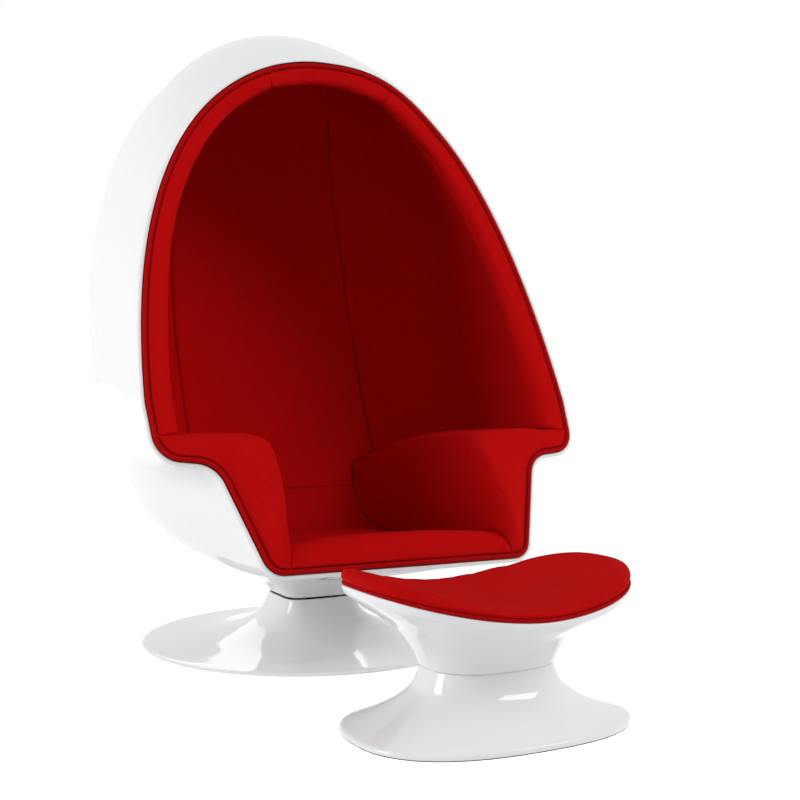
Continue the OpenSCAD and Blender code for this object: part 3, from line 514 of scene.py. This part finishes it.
# Along a row of the padding t is 0 at the opening, 1 at the shell's widest outline and 2 at
# the row's end. The welt covers it up to welt_end, the front roll ends at roll_end, and
# from thin_from on the padding is thin.
welt_end, roll_end, thin_from, back_end = 0.02, 0.12, 0.8, 2


def padding(t):
    """How far the cover cloth lies inside the shell's outer face, from the roll to the back."""
    if t <= roll_end:
        return mix(front_d + 0.03 * roll_d, roll_d, (1 - (1 - t / roll_end) ** roll_n) ** (1 / roll_n))
    s = min(1.0, (t - roll_end) / (thin_from - roll_end))
    return mix(roll_d, liner_d, 1 - (1 - s) ** thin_n)


seam_w = 0.491 * shell_w
seam_level, seam_bow = 0.906 * shell_mid, 0.456
seam_hi, seam_lo = 0.9047 * shell_top, 0.952 * notch_z
crease_w, crease_z = 0.323 * shell_w, 0.305
arm_end_w, arm_end_z, arm_fall = 0.35 * shell_w, 0.89 * notch_z, 0.093 * notch_z
arm_end_share, fall_us = 0.45, 9


def seam_x(z):
    """Half of the distance between the two back seams at height z: they bow out at the middle."""
    return seam_w * (1 - seam_bow * (z - seam_level) ** 2)


def on_back(x, z):
    return Vector((x / (shell_w - liner_d), (z - shell_mid) / half_h(z - shell_mid, liner_d)))


def row_end(u):
    """Where the padding's row u ends: down the back seam, round the arm's end, along the crease."""
    if u <= arm_u:
        z = mix(seam_hi, seam_lo, (u - cross_u) / (arm_u - cross_u))
        return on_back(seam_x(z), z)
    if u < seat_u:
        s = (u - arm_u) / (seat_u - arm_u)
        if s < arm_end_share:
            s /= arm_end_share
            return on_back(mix(seam_x(seam_lo), arm_end_w, s), mix(seam_lo, arm_end_z, s))
        s = (s - arm_end_share) / (1 - arm_end_share)
        return on_back(mix(arm_end_w, crease_w, s), mix(arm_end_z, crease_z, s))
    return on_back(crease_w * rim_2d(u).x / lip_end, crease_z)


def pad_way(u):
    """The padding's direction at u: its rows near the arm line slope down towards the back."""
    q = wide(u)
    near = (u - cross_u) / (arm_u - cross_u) if u <= arm_u else 1 - (u - arm_u) / fall_us
    fall = arm_fall * max(0.0, near)
    if fall <= 0:
        return q
    b = q.y - fall / half_h(q.y, 0)
    n = bulge_up if b >= 0 else bulge_low
    return Vector(((1 - abs(b) ** n) ** (1 / n), b))


def pad_point(u, t, d):
    """A point of the padding on row u, from the opening (0) by the widest outline (1) to its end (2)."""
    if t <= 1:
        return front_point(u, t, d, pad_way(u))
    return back_point(*mix(pad_way(u), row_end(u), t - 1), d)


def hidden_point(u, t, d):
    """A point of the padding's hidden side, which lies along the shell."""
    return front_point(u, t, d) if t <= 1 else back_point(*mix(wide(u), row_end(u), t - 1), d)


def grid_lengths(face):
    """How far each point of a grid lies along its row and along its column."""
    rows, cols = len(face), len(face[0])
    along = [[0.0] * cols for _ in face]
    down = [[0.0] * cols for _ in face]
    for r in range(rows):
        for c in range(cols):
            if c:
                along[r][c] = along[r][c - 1] + (face[r][c] - face[r][c - 1]).length
            if r:
                down[r][c] = down[r - 1][c] + (face[r][c] - face[r - 1][c]).length
    return along, down


# At a seam the cloth goes down by seam_dip over round_over and ends in a narrow slit. It
# puckers beside the seam, and farther off it stands proud by the crown.
round_over, crown, swell_over = 0.009, 0.001, 0.07
slit, slit_over = 0.004, 0.0009
pucker, pucker_over, puckers_per_m = 0.0011, 0.022, 62


def sewn(face, back):
    """Rounds the cloth down into the seams at its first and last row and its last column, with
    puckers, and lets it stand a little proud between them."""
    along, down = grid_lengths(face)
    for r in range(len(face)):
        for c in range(len(face[0])):
            away = min(1.0, down[r][c], down[-1][c] - down[r][c], along[r][-1] - along[r][c])
            s = 1 - min(1.0, away / round_over)
            sunk = seam_dip * (1 - math.sqrt(max(0.0, 1 - s * s))) + slit * math.exp(-away / slit_over)
            proud = crown * math.sin(math.pi / 2 * min(1.0, away / swell_over))
            creased = pucker * noise.noise(face[r][c] * puckers_per_m) * math.exp(-away / pucker_over)
            inward = (back[r][c] - face[r][c]).normalized()
            face[r][c] = face[r][c] + inward * (sunk - proud + creased)
    return face


def covered(name, face, back, mirrored=False):
    """A closed pad from the grid of its show side and the grid of its hidden side."""
    rows, cols = len(face), len(face[0])
    along, down = grid_lengths(face)
    half = rows * cols
    turned_in = 0.02
    points = [p for row in face for p in row] + [p for row in back for p in row]
    faces, where = [], []

    def spot(r, c, off=0.0):
        return (along[r][c] + off, down[r][c] + off)

    for r in range(rows - 1):
        for c in range(cols - 1):
            a = r * cols + c
            b = a + cols
            faces.append((a, b, b + 1, a + 1))
            where.append([spot(r, c), spot(r + 1, c), spot(r + 1, c + 1), spot(r, c + 1)])
            faces.append((half + a, half + a + 1, half + b + 1, half + b))
            where.append([spot(r, c), spot(r, c + 1), spot(r + 1, c + 1), spot(r + 1, c)])
    edge = [(0, c) for c in range(cols - 1)] + [(r, cols - 1) for r in range(rows - 1)]
    edge += [(rows - 1, c) for c in range(cols - 1, 0, -1)] + [(r, 0) for r in range(rows - 1, 0, -1)]
    for k, (r, c) in enumerate(edge):
        r2, c2 = edge[(k + 1) % len(edge)]
        a, b = r * cols + c, r2 * cols + c2
        faces.append((a, b, half + b, half + a))
        where.append([spot(r, c), spot(r2, c2), spot(r2, c2, turned_in), spot(r, c, turned_in)])
    if mirrored:
        points = [Vector((-p.x, p.y, p.z)) for p in points]
    else:
        faces = [f[::-1] for f in faces]
        where = [w[::-1] for w in where]
    return as_object(name, points, faces, where, wool)


def spaced(line, gap):
    """Indices of points in a line that lie at least gap apart, with both ends."""
    kept, since = [0], 0.0
    for k in range(1, len(line)):
        since += (line[k] - line[k - 1]).length
        if since >= gap or k == len(line) - 1:
            kept.append(k)
            since = 0.0
    return kept


def swollen(face, back, cap, wrap=False):
    """Lets the cover cloth swell over its foam: Blender's Cloth under pressure on every 9 mm of the
    grid, its edges held down, each point moved by the cap at most, and the fine grid drawn after it."""
    gap, pressure, moments = 0.009, 4.0, 20
    rows, cols = spaced([r[len(r) // 2] for r in face], gap), spaced(face[len(face) // 2], gap)
    n, last = len(cols), len(rows) - 1
    points = [face[r][c] for r in rows for c in cols]
    quads = [(k, k + 1, k + n + 1, k + n) for r in range(last) for k in range(r * n, r * n + n - 1)]
    if wrap:
        quads += [(r * n + n - 1, r * n, (r + 1) * n, (r + 2) * n - 1) for r in range(last)]
    a, b, c, d = (points[k] for k in quads[len(quads) // 2 + n // 2])
    mid_r, mid_c = rows[len(rows) // 2], cols[n // 2]
    if (c - a).cross(d - b).dot(face[mid_r][mid_c] - back[mid_r][mid_c]) < 0:
        quads = [q[::-1] for q in quads]
    sheet = bpy.data.meshes.new("cover_cloth")
    sheet.from_pydata(points, [], quads)
    sheet.update()
    cloth = bpy.data.objects.new("cover_cloth", sheet)
    scene.collection.objects.link(cloth)
    held = cloth.vertex_groups.new(name="held")
    held.add([r * n + c for r in range(last + 1) for c in range(n)
              if r == 0 or (not wrap and (r == last or c in (0, n - 1)))], 1.0, "REPLACE")
    run = cloth.modifiers.new("swelling", "CLOTH")
    run.settings.quality = 5
    run.settings.vertex_group_mass = "held"
    run.settings.use_pressure = True
    run.settings.uniform_pressure_force = pressure
    run.settings.effector_weights.gravity = 0
    run.point_cache.frame_start, run.point_cache.frame_end = 1, moments
    for moment in range(1, moments + 1):
        scene.frame_set(moment)
    settled = cloth.evaluated_get(bpy.context.evaluated_depsgraph_get()).to_mesh()
    moved = [new.co - old for new, old in zip(settled.vertices, points)]
    moved = [m * min(1.0, cap / max(m.length, 1e-9)) for m in moved]
    bpy.data.objects.remove(cloth)
    scene.frame_set(1)
    for i in range(last):
        for r in range(rows[i], rows[i + 1] + (i == last - 1)):
            f = (r - rows[i]) / (rows[i + 1] - rows[i])
            for j in range(n - 1):
                for c in range(cols[j], cols[j + 1] + (j == n - 2)):
                    g = (c - cols[j]) / (cols[j + 1] - cols[j])
                    near = mix(moved[i * n + j], moved[i * n + j + 1], g)
                    after = mix(moved[(i + 1) * n + j], moved[(i + 1) * n + j + 1], g)
                    face[r][c] = face[r][c] + mix(near, after, f)
    return face


# How far the grid lines beside a seam lie from it.
near_seam = [0.0, 0.0003, 0.0009, 0.0019, 0.0034, 0.0053, 0.0077, 0.0105, 0.017]


def fine_rows(first, last, scale_first, scale_last, count):
    """Grid lines from first to last, close together at the seams. The scales are metres per step."""
    start = [first + e / scale_first for e in near_seam] if scale_first else [first]
    end = [last - e / scale_last for e in reversed(near_seam)] if scale_last else [last]
    return start + steps(start[-1], end[0], count)[1:-1] + end


def backing(t):
    """How deep the padding's hidden side lies: behind the welt at the opening, then on the shell."""
    return front_d if t < welt_end else pad_d


def side_back(u, t):
    return hidden_point(u, t, backing(t))


def upholstered(name, spot, behind, us, ts, swell, mirrored=False):
    """A covered pad, from the functions of its show side and its hidden side. The cloth swells
    by so many metres at most."""
    back = [[behind(u, t) for t in ts] for u in us]
    face = [[spot(u, t) for t in ts] for u in us]
    face = sewn(swollen(face, back, swell), back)
    return covered(name, face, back, mirrored)


def side_face(u, t):
    return pad_point(u, t, padding(t))


roll_ts = [roll_end * (1 - math.cos(math.radians(a))) for a in (0, 7, 15, 24, 33, 43, 54, 66, 78)]
side_us = fine_rows(cross_u, arm_u, 0.055, 0.045, 72)
side_ts = roll_ts + fine_rows(roll_end, back_end, 0, 0.33, 46)
for side, mirrored in (("right", False), ("left", True)):
    panel = upholstered("side_panel_cover_" + side, side_face, side_back, side_us, side_ts, 0.004, mirrored)
    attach(panel, "pod")
    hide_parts("side_panel_" + side)


# Middle panel: one length of covered foam from the top of the opening over the ceiling
# and down the back to the crease behind the seat, glued in between the side panels.
crease_end = 34


def crown_of(a):
    """How high the shell's outline rises at the share a of its half width."""
    return (1 - abs(a) ** bulge_up) ** (1 / bulge_up)


def middle_spot(k, t, d):
    """k runs across from -4 to 4; t runs 0 to 1 over the ceiling and 1 to 34 down the back."""
    if t <= 1:
        return pad_point(k, t, d)
    j = t - 1
    q = mix(wide(cross_u), row_end(cross_u), j) if j <= 1 else row_end(cross_u - 1 + j)
    a = q.x * wide(k).x / wide(cross_u).x
    rise = crown_of(a) - crown_of(wide(cross_u).x)
    return back_point(a, q.y + max(0.0, rise) * (1 - j / (crease_end - 1)), d)


def middle_face(k, t):
    return middle_spot(k, t, padding(t))


def middle_back(k, t):
    return middle_spot(k, t, backing(t))


middle_ks = fine_rows(-cross_u, cross_u, 0.045, 0.045, 26)
middle_ts = roll_ts + steps(roll_end, 1, 22) + fine_rows(1, crease_end, 0, 0.03, 110)[1:]
middle_panel = upholstered("back_panel_cover", middle_face, middle_back, middle_ks, middle_ts, 0.004)
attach(middle_panel, "pod")
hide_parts("back_panel")


# Arm pads: shaped foam blocks on the shelves of the notch, flat on top and rolled over
# at the inner edge, with the cloth drawn round from the front in one piece.
arm_z, seat_z, seat_bow = 0.435, 0.213, 1.064
arm_edge_w, arm_set_back = 0.478 * rim_w, 0.08 * rim_w
seat_set_in, seat_set_back = 0.975, 0.105 * rim_w
reach_at_widest = 0.55
arm_sweep_n, arm_drop_n, arm_roll_n = 2.2, 3, 0.8
cloth_lap = 0.006
top_share, nose_share, bend_from, bend_to = 0.8, 0.16, 0.33, 0.61
blend_us = 0.5


def reach_in(t):
    """How far the arm has come on its way from the front (0) to the back wall (1)."""
    if t <= roll_end:
        return 0.0
    if t <= 1:
        return reach_at_widest * (t - roll_end) / (1 - roll_end)
    return reach_at_widest + (1 - reach_at_widest) * (t - 1)


def wall_point(q):
    return back_point(q.x, q.y, liner_d - cloth_lap)


def seat_height(y):
    """Height of the seat's sides: lowest over the swivel and rising to the crease and to the front."""
    if y > 0:
        return mix(seat_z, crease_z, (y / wall_point(on_back(crease_w, crease_z)).y) ** 2)
    return seat_z * (1 + seat_bow * y * y)


def arm_outer(t):
    return pad_point(arm_u, t, padding(t) - (cloth_lap if t > 0 else 0))


def arm_corner(t):
    """The corner of the arm's inner edge, before it is rounded."""
    f, e = reach_in(t), wall_point(on_back(arm_end_w, arm_end_z))
    s = Vector((arm_edge_w, rim_y(arm_z) + arm_set_back, arm_z))
    return Vector((mix(s.x, e.x, f ** arm_sweep_n), mix(s.y, e.y, f), mix(s.z, e.z, f ** arm_drop_n)))


def seat_side(t):
    """The seam between the arm pad and the seat."""
    f, e, s = reach_in(t), wall_point(on_back(crease_w, crease_z)), pad_point(seat_u, 0, padding(0))
    a = Vector((seat_set_in * s.x, s.y + seat_set_back))
    if t < roll_end:
        forth = t / roll_end
        rise = math.sqrt(max(0.0, 1 - (1 - forth) ** 2))
        return Vector((mix(s.x, a.x, forth), mix(s.y, a.y, forth), mix(s.z, seat_height(a.y), rise)))
    y = mix(a.y, e.y, f)
    return Vector((mix(a.x, e.x, f * f), y, seat_height(y)))


def arm_section(t, s):
    """The arm across: along its top (s = 0), round its inner edge and down to the seat (s = 1)."""
    a, e, b = arm_outer(t), arm_corner(t), seat_side(t)
    p, q = mix(a, e, top_share), mix(e, b, nose_share)
    if s <= bend_from:
        return mix(a, p, s / bend_from)
    if s < bend_to:
        k = (s - bend_from) / (bend_to - bend_from)
        return p * (1 - k) ** 2 + e * 2 * k * (1 - k) + q * k * k
    return mix(q, b, (s - bend_to) / (1 - bend_to))


def arm_face(u, t):
    """The arm's show side: its rolled front as far as roll_end, then its sections to the wall."""
    s = (u - arm_u) / (seat_u - arm_u)
    if t >= back_end:
        return wall_point(row_end(u))
    if t >= roll_end:
        return arm_section(t, s)
    if u >= seat_u:
        return seat_side(t)
    a = math.acos(1 - t / roll_end)
    forth, inner = 1 - math.cos(a) ** arm_roll_n, math.sin(a) ** arm_roll_n
    p, q = pad_point(u, 0, padding(0)), arm_section(roll_end, s)
    full = Vector((mix(p.x, q.x, inner), mix(p.y, q.y, forth), mix(p.z, q.z, inner)))
    if u < arm_u + blend_us:
        return mix(arm_outer(t), full, (u - arm_u) / blend_us)
    if u > seat_u - blend_us:
        return mix(seat_side(t), full, (seat_u - u) / blend_us)
    return full


arm_us = fine_rows(arm_u, seat_u, 0.02, 0.02, 64)
arm_ts = roll_ts + fine_rows(roll_end, back_end, 0, 0.24, 52)
for side, mirrored in (("right", False), ("left", True)):
    pad = upholstered("arm_pad_cover_" + side, arm_face, side_back, arm_us, arm_ts, 0.003, mirrored)
    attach(pad, "pod")
    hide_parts("arm_pad_" + side)


# Seat: a foam cushion with a rolled front edge, sewn to the arm pads at its sides and
# tucked into the crease under the back. It gives most at the middle, where it is sat on.
seat_crown, crown_n, crown_fade = 0.9 * shell_t, 4, 0.2


def seat_face(u, t):
    """The seat's show side, crowned between its seams, its roll and the crease."""
    k = rim_2d(u).x / lip_end
    b, r, end = seat_side(t), pad_point(u, 0, padding(0)), pad_point(seat_u, 0, padding(0))
    if t <= 0:
        return r
    if t >= back_end:
        return wall_point(row_end(u))
    full = seat_crown * (1 - abs(k) ** crown_n)
    full *= min(1.0, t / roll_end) * min(1.0, (back_end - t) / crown_fade)
    return Vector((b.x * k, b.y + (r.y - end.y) * (1 - reach_in(t)), b.z + full))


seat_us = fine_rows(seat_u, full_u - seat_u, 0.075, 0.075, 44)
seat = upholstered("seat_cushion_cover", seat_face, side_back, seat_us, arm_ts, 0.006)
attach(seat, "pod")
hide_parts("seat_cushion")


# Welt: a 9 mm cord in a strip of the cover cloth cut on the bias, laid in the angle
# behind the shell's lip all round the opening to hide the staples of the padding.
# The bias strip's reds are the cover cloth's drawn darker: painted shade on the welts of the pod and the
# footstool, which are the same cloth.
bias_wool_painted_shade = woven_wool("bias_cut_red_wool_painted_shade", "970506", "B60809", turned=math.radians(45), pitch=2.2)


def cord(middle, across, out, r, count):
    """A round section of a cord about its middle."""
    angles = [2 * math.pi * k / count for k in range(count)]
    return [middle + (across * math.cos(a) + out * math.sin(a)) * r for a in angles]


welt_d, cord_r = 1.05 * shell_t + 0.96 * welt_r, 0.88 * welt_r
welt = []
for u in shell_us:
    way = (front_point(u + 0.5, 0, welt_d) - front_point(u - 0.5, 0, welt_d)).normalized()
    inward = Vector((rim_inward(u).x, 0, rim_inward(u).y))
    across = (inward - way * inward.dot(way)).normalized()
    welt.append(cord(front_point(u, 0, welt_d), across, way.cross(across), cord_r, 14))
edge_welt = rings_to_object("piped_welt", welt, bias_wool_painted_shade, loop=True)
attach(edge_welt, "pod")
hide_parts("edge_welt")


# Trumpet foot: a second moulding in the same gel coat, round on the floor and squared
# at the top. It hides the steel and carries no weight. Its rows: reach, height, squareness.
foot_r = 0.346
foot_shares = [(1, 0.016, 2), (1, 0.042, 2), (0.976, 0.067, 2), (0.85, 0.106, 2), (0.65, 0.18, 2),
               (0.49, 0.295, 2.1), (0.372, 0.45, 2.3), (0.29, 0.64, 2.9), (0.249, 0.825, 3.8),
               (0.2245, 0.985, 5)]
foot_inside_shares = [(0.221, 1.0, 5), (0.213, 1.0, 5), (0.211, 0.985, 5), (0.211, 0.866, 4.8),
                      (0.156, 0.866, 2), (0.156, 0.825, 2), (0.226, 0.825, 4.4), (0.236, 0.8, 3.8),
                      (0.276, 0.62, 2.9), (0.358, 0.402, 2.3), (0.478, 0.243, 2.1), (0.64, 0.128, 2),
                      (0.848, 0.056, 2), (0.985, 0.016, 2)]
foot = [ring(r * foot_r, r * foot_r, n, z * foot_h)
        for r, z, n in through(foot_shares, 5) + foot_inside_shares]
trumpet_foot = rings_to_object("moulded_trumpet_foot", foot, gel_coat, loop=True)
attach(trumpet_foot, "base")
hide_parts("trumpet_foot")


# Footstool mouldings: a flared foot and a flared dish in the gel coat, bolted together
# at the waist. A hair-line gap shows where they meet. Their rows: reach, share of the height.
stool_w, stool_l, stool_y, stool_n = 0.230, 0.160, -0.705, 2.5
waist_z, saddle_z, saddle_rise, saddle_n = 0.095, 0.184, 0.038, 1.73
edge_w, edge_l = 0.973 * stool_w, 1.067 * stool_l
waist_w_share, waist_l_share = 0.98, 0.927
board_t, ledge_t = 0.055 * saddle_z, 0.025 * saddle_z


def saddle(x):
    """Height of the dish's edge: level across the middle, rising to both sides."""
    return saddle_z + saddle_rise * (abs(x) / edge_w) ** saddle_n


def edge_ring(s):
    """A level ring of the dish's outline, drawn in to the share s."""
    return ring(s * edge_w, s * edge_l, stool_n, 0, y0=stool_y)


def saddle_ring(s, dz):
    return [Vector((p.x, p.y, saddle(p.x) + dz)) for p in edge_ring(s)]


def waist_ring(s, z):
    return ring(s * waist_w_share * edge_w, s * waist_l_share * edge_l, stool_n, z, y0=stool_y)


def dish_ring(s, f):
    """A ring of the dish, from its narrower waist (f = 0) out to its edge (f = 1)."""
    w, l = s * mix(waist_w_share, 1, f), s * mix(waist_l_share, 1, f)
    return [Vector((p.x, p.y, waist_z + (saddle(p.x / w) - waist_z) * f))
            for p in ring(w * edge_w, l * edge_l, stool_n, 0, y0=stool_y)]


stool_shares = [(1, 0.016), (1, 0.06), (0.985, 0.1), (0.92, 0.15), (0.81, 0.242), (0.71, 0.347),
                (0.63, 0.453), (0.53, 0.642), (0.485, 0.83), (0.458, 0.995)]
stool_inside_shares = [(0.45, 1.0), (0.32, 1), (0.32, 0.93), (0.43, 0.93), (0.455, 0.8), (0.5, 0.62),
                       (0.6, 0.42), (0.685, 0.31), (0.79, 0.2), (0.905, 0.1), (0.975, 0.016)]
stool = [ring(s * stool_w, s * stool_l, stool_n, f * waist_z, y0=stool_y)
         for s, f in through(stool_shares, 5) + stool_inside_shares]
stool_foot = rings_to_object("moulded_stool_foot", stool, gel_coat, loop=True)
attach(stool_foot, "footstool")
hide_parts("stool_foot")

dish_shares = [(0.486, 0.006), (0.512, 0.12), (0.562, 0.27), (0.633, 0.42), (0.722, 0.56), (0.875, 0.74),
               (0.972, 0.87), (0.996, 0.94), (0.999, 0.985)]
dish_inside_shares = [(0.8, 0.7), (0.69, 0.56), (0.602, 0.42), (0.532, 0.27), (0.486, 0.14)]
under_ledge = -board_t - ledge_t
dish = [waist_ring(s, waist_z) for s in (0.336, 0.475)]
dish += [dish_ring(s, f) for s, f in through(dish_shares, 5)]
dish += [saddle_ring(s, dz) for s, dz in ((0.996, 0), (0.94, 0), (0.94, -board_t), (0.7, -board_t),
                                          (0.7, under_ledge), (0.84, under_ledge))]
dish += [dish_ring(s, f) for s, f in dish_inside_shares]
dish += [waist_ring(s, 1.07 * waist_z) for s in (0.445, 0.336)]
stool_dish = rings_to_object("moulded_stool_dish", dish, gel_coat, loop=True)
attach(stool_dish, "footstool")
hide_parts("stool_dish")


# Footstool cushion: foam on a bent plywood board, in the same cloth. It is crowned in
# the middle, thin at front and back and thick at its raised ends, and a narrow welt
# closes it round the edge.
cushion_h, skirt_h = 0.08 * saddle_z, 0.0325 * saddle_z
cushion_gap, welt_gap = 0.0003, 0.0006


def cushion_ring(s, f):
    """A ring of the cushion, from the welt (f = 0) to its crown, thicker towards its raised ends."""
    return [Vector((p.x, p.y, saddle(p.x) + mix(skirt_h, cushion_h * (1 + (p.x / edge_w) ** 2), f)))
            for p in edge_ring(s)]


cushion_shares = [(0.975, -0.1), (0.987, 0.0), (0.997, 0.13), (1.001, 0.33), (0.995, 0.56), (0.976, 0.79),
                  (0.93, 0.92), (0.85, 0.97), (0.7, 1.0), (0.5, 1.03), (0.35, 1.05), (0.2, 1.06)]
under = [saddle_ring(s, cushion_gap) for s in (0.2, 0.5, 0.72, 0.93, 0.965)]
over = [cushion_ring(s, f) for s, f in through(cushion_shares, 4)]
cushion = under + swollen(over, [under[0]] * len(over), 0.003, wrap=True)
stool_cushion = rings_to_object("stool_cushion_cover", cushion, wool)
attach(stool_cushion, "footstool")
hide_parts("stool_cushion")

stool_welt_r = 0.0145 * saddle_z
seat_edge = saddle_ring(0.988, stool_welt_r + welt_gap)
piping = []
for k, p in enumerate(seat_edge):
    way = (seat_edge[(k + 1) % len(seat_edge)] - seat_edge[k - 1]).normalized()
    out = way.cross(Vector((0, 0, 1))).normalized()
    piping.append(cord(p, out, out.cross(way), stool_welt_r, 10))
# The footstool's welt takes the darker bias cloth too, painted shade on its cord.
stool_welt = rings_to_object("stool_piped_welt", piping, bias_wool_painted_shade, loop=True)
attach(stool_welt, "footstool")
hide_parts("stool_welt")


# Steel inside the foot and the neck: bolts, nuts, screws, inserts, spindle and washer
# are bright zinc-plated, the slab, hub, plate and clip are black enamelled. The solids
# themselves show, and only get their finish here.
def refinish(material, *names):
    for name in names:
        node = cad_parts[name]
        node.data.materials.clear()
        node.data.materials.append(material)


zinc, tree, place = finish_named("zinc_plated_steel")
spangle = add(tree, "TexVoronoi", {"Vector": place, "Scale": per(1.11)})
drawn = add(tree, "TexNoise", {"Vector": place, "Scale": per(3.85), "Detail": 4.0})
tone = add(tree, "MixRGB", {"Fac": spangle.outputs["Distance"], "Color1": paint("B9BCC0"),
                            "Color2": paint("D3D5D8")})
dull = add(tree, "MapRange", {"Value": drawn.outputs["Fac"], "To Min": 0.22, "To Max": 0.42})
plated = add(tree, "BsdfPrincipled", {"Base Color": tone.outputs["Color"], "Metallic": 1.0,
                                      "Roughness": dull.outputs["Result"]})
add(tree, "OutputMaterial", {"Surface": plated.outputs[0]})
refinish(zinc, "threaded_inserts", "swivel_bolts", "hub_bolts", "hub_nuts", "shelf_screws", "stool_bolts",
         "stool_nuts", "stool_screws", "spindle", "thrust_race")

enamel, tree, place = finish_named("black_stoved_enamel")
peel = add(tree, "TexNoise", {"Vector": place, "Scale": per(2.38), "Detail": 2.0})
scuff = add(tree, "TexNoise", {"Vector": place, "Scale": per(25), "Detail": 6.0, "Roughness": 0.7})
tone = add(tree, "MixRGB", {"Fac": scuff.outputs["Fac"], "Color1": paint("161617"),
                            "Color2": paint("262628")})
relief = add(tree, "Bump", {"Height": peel.outputs["Fac"], "Strength": 0.3, "Distance": 0.0002})
dull = add(tree, "MapRange", {"Value": scuff.outputs["Fac"], "To Min": 0.3, "To Max": 0.5})
black = add(tree, "BsdfPrincipled", {"Base Color": tone.outputs["Color"],
                                     "Roughness": dull.outputs["Result"],
                                     "Normal": relief.outputs["Normal"]})
add(tree, "OutputMaterial", {"Surface": black.outputs[0]})
refinish(enamel, "swivel_plate", "base_slab", "swivel_hub", "retaining_clip")


# Bush: turned bronze, pressed into the hub. The tool left fine rings round the axis.
bronze, tree, place = finish_named("turned_bronze")
turned = add(tree, "TexWave", {"Vector": place, "Scale": bands(0.604), "Distortion": 1.0},
             wave_type="RINGS", rings_direction="Z")
tone = add(tree, "MixRGB", {"Fac": turned.outputs["Fac"], "Color1": paint("A9743A"),
                            "Color2": paint("C08A4C")})
relief = add(tree, "Bump", {"Height": turned.outputs["Fac"], "Strength": 0.3, "Distance": 0.0001})
metal = add(tree, "BsdfPrincipled", {"Base Color": tone.outputs["Color"], "Roughness": 0.3, "Metallic": 1.0,
                                     "Normal": relief.outputs["Normal"]})
add(tree, "OutputMaterial", {"Surface": metal.outputs[0]})
refinish(bronze, "spindle_bush")


# Plywood: the block in the neck and the board under the footstool's cushion, birch
# veneers 1.4 mm thick with their edges sanded and left bare.
birch, tree, place = finish_named("bare_birch_plywood")
stretched = add(tree, "Mapping", {"Vector": place, "Scale": (per(111), per(6.25), per(6.25))})
grain = add(tree, "TexNoise", {"Vector": stretched.outputs["Vector"], "Scale": 1.0, "Detail": 5.0})
plies = add(tree, "TexWave", {"Vector": place, "Scale": bands(2.8), "Distortion": 0.3}, bands_direction="Z")
wood = add(tree, "MixRGB", {"Fac": grain.outputs["Fac"], "Color1": paint("C79F6B"),
                            "Color2": paint("E3C795")})
layered = add(tree, "MapRange", {"Value": plies.outputs["Fac"], "To Min": 0.78, "To Max": 1.0})
veneer = add(tree, "MixRGB", {"Fac": 1.0, "Color1": wood.outputs["Color"],
                              "Color2": layered.outputs["Result"]}, blend_type="MULTIPLY")
relief = add(tree, "Bump", {"Height": grain.outputs["Fac"], "Strength": 0.3, "Distance": 0.0002})
bare = add(tree, "BsdfPrincipled", {"Base Color": veneer.outputs["Color"], "Roughness": 0.7,
                                    "Normal": relief.outputs["Normal"]})
add(tree, "OutputMaterial", {"Surface": bare.outputs[0]})
refinish(birch, "neck_block", "stool_board")


# Floor pad and edge strip: thin black rubber stuck under the steel slab and under the
# rim of the footstool, with a fine moulded grain and some pale dust.
rubber, tree, place = finish_named("black_sheet_rubber")
grain = add(tree, "TexVoronoi", {"Vector": place, "Scale": per(1.43)})
dust = add(tree, "TexNoise", {"Vector": place, "Scale": per(16.7), "Detail": 5.0})
dusty = add(tree, "MapRange", {"Value": dust.outputs["Fac"], "From Min": 0.5, "From Max": 0.8,
                               "To Max": 0.35})
tone = add(tree, "MixRGB", {"Fac": dusty.outputs["Result"], "Color1": paint("1B1B1C"),
                            "Color2": paint("55534F")})
relief = add(tree, "Bump", {"Height": grain.outputs["Distance"], "Strength": 0.4, "Distance": 0.0003})
matt = add(tree, "BsdfPrincipled", {"Base Color": tone.outputs["Color"], "Roughness": 0.75,
                                    "Normal": relief.outputs["Normal"]})
add(tree, "OutputMaterial", {"Surface": matt.outputs[0]})
refinish(rubber, "floor_pad", "stool_edge_strip")
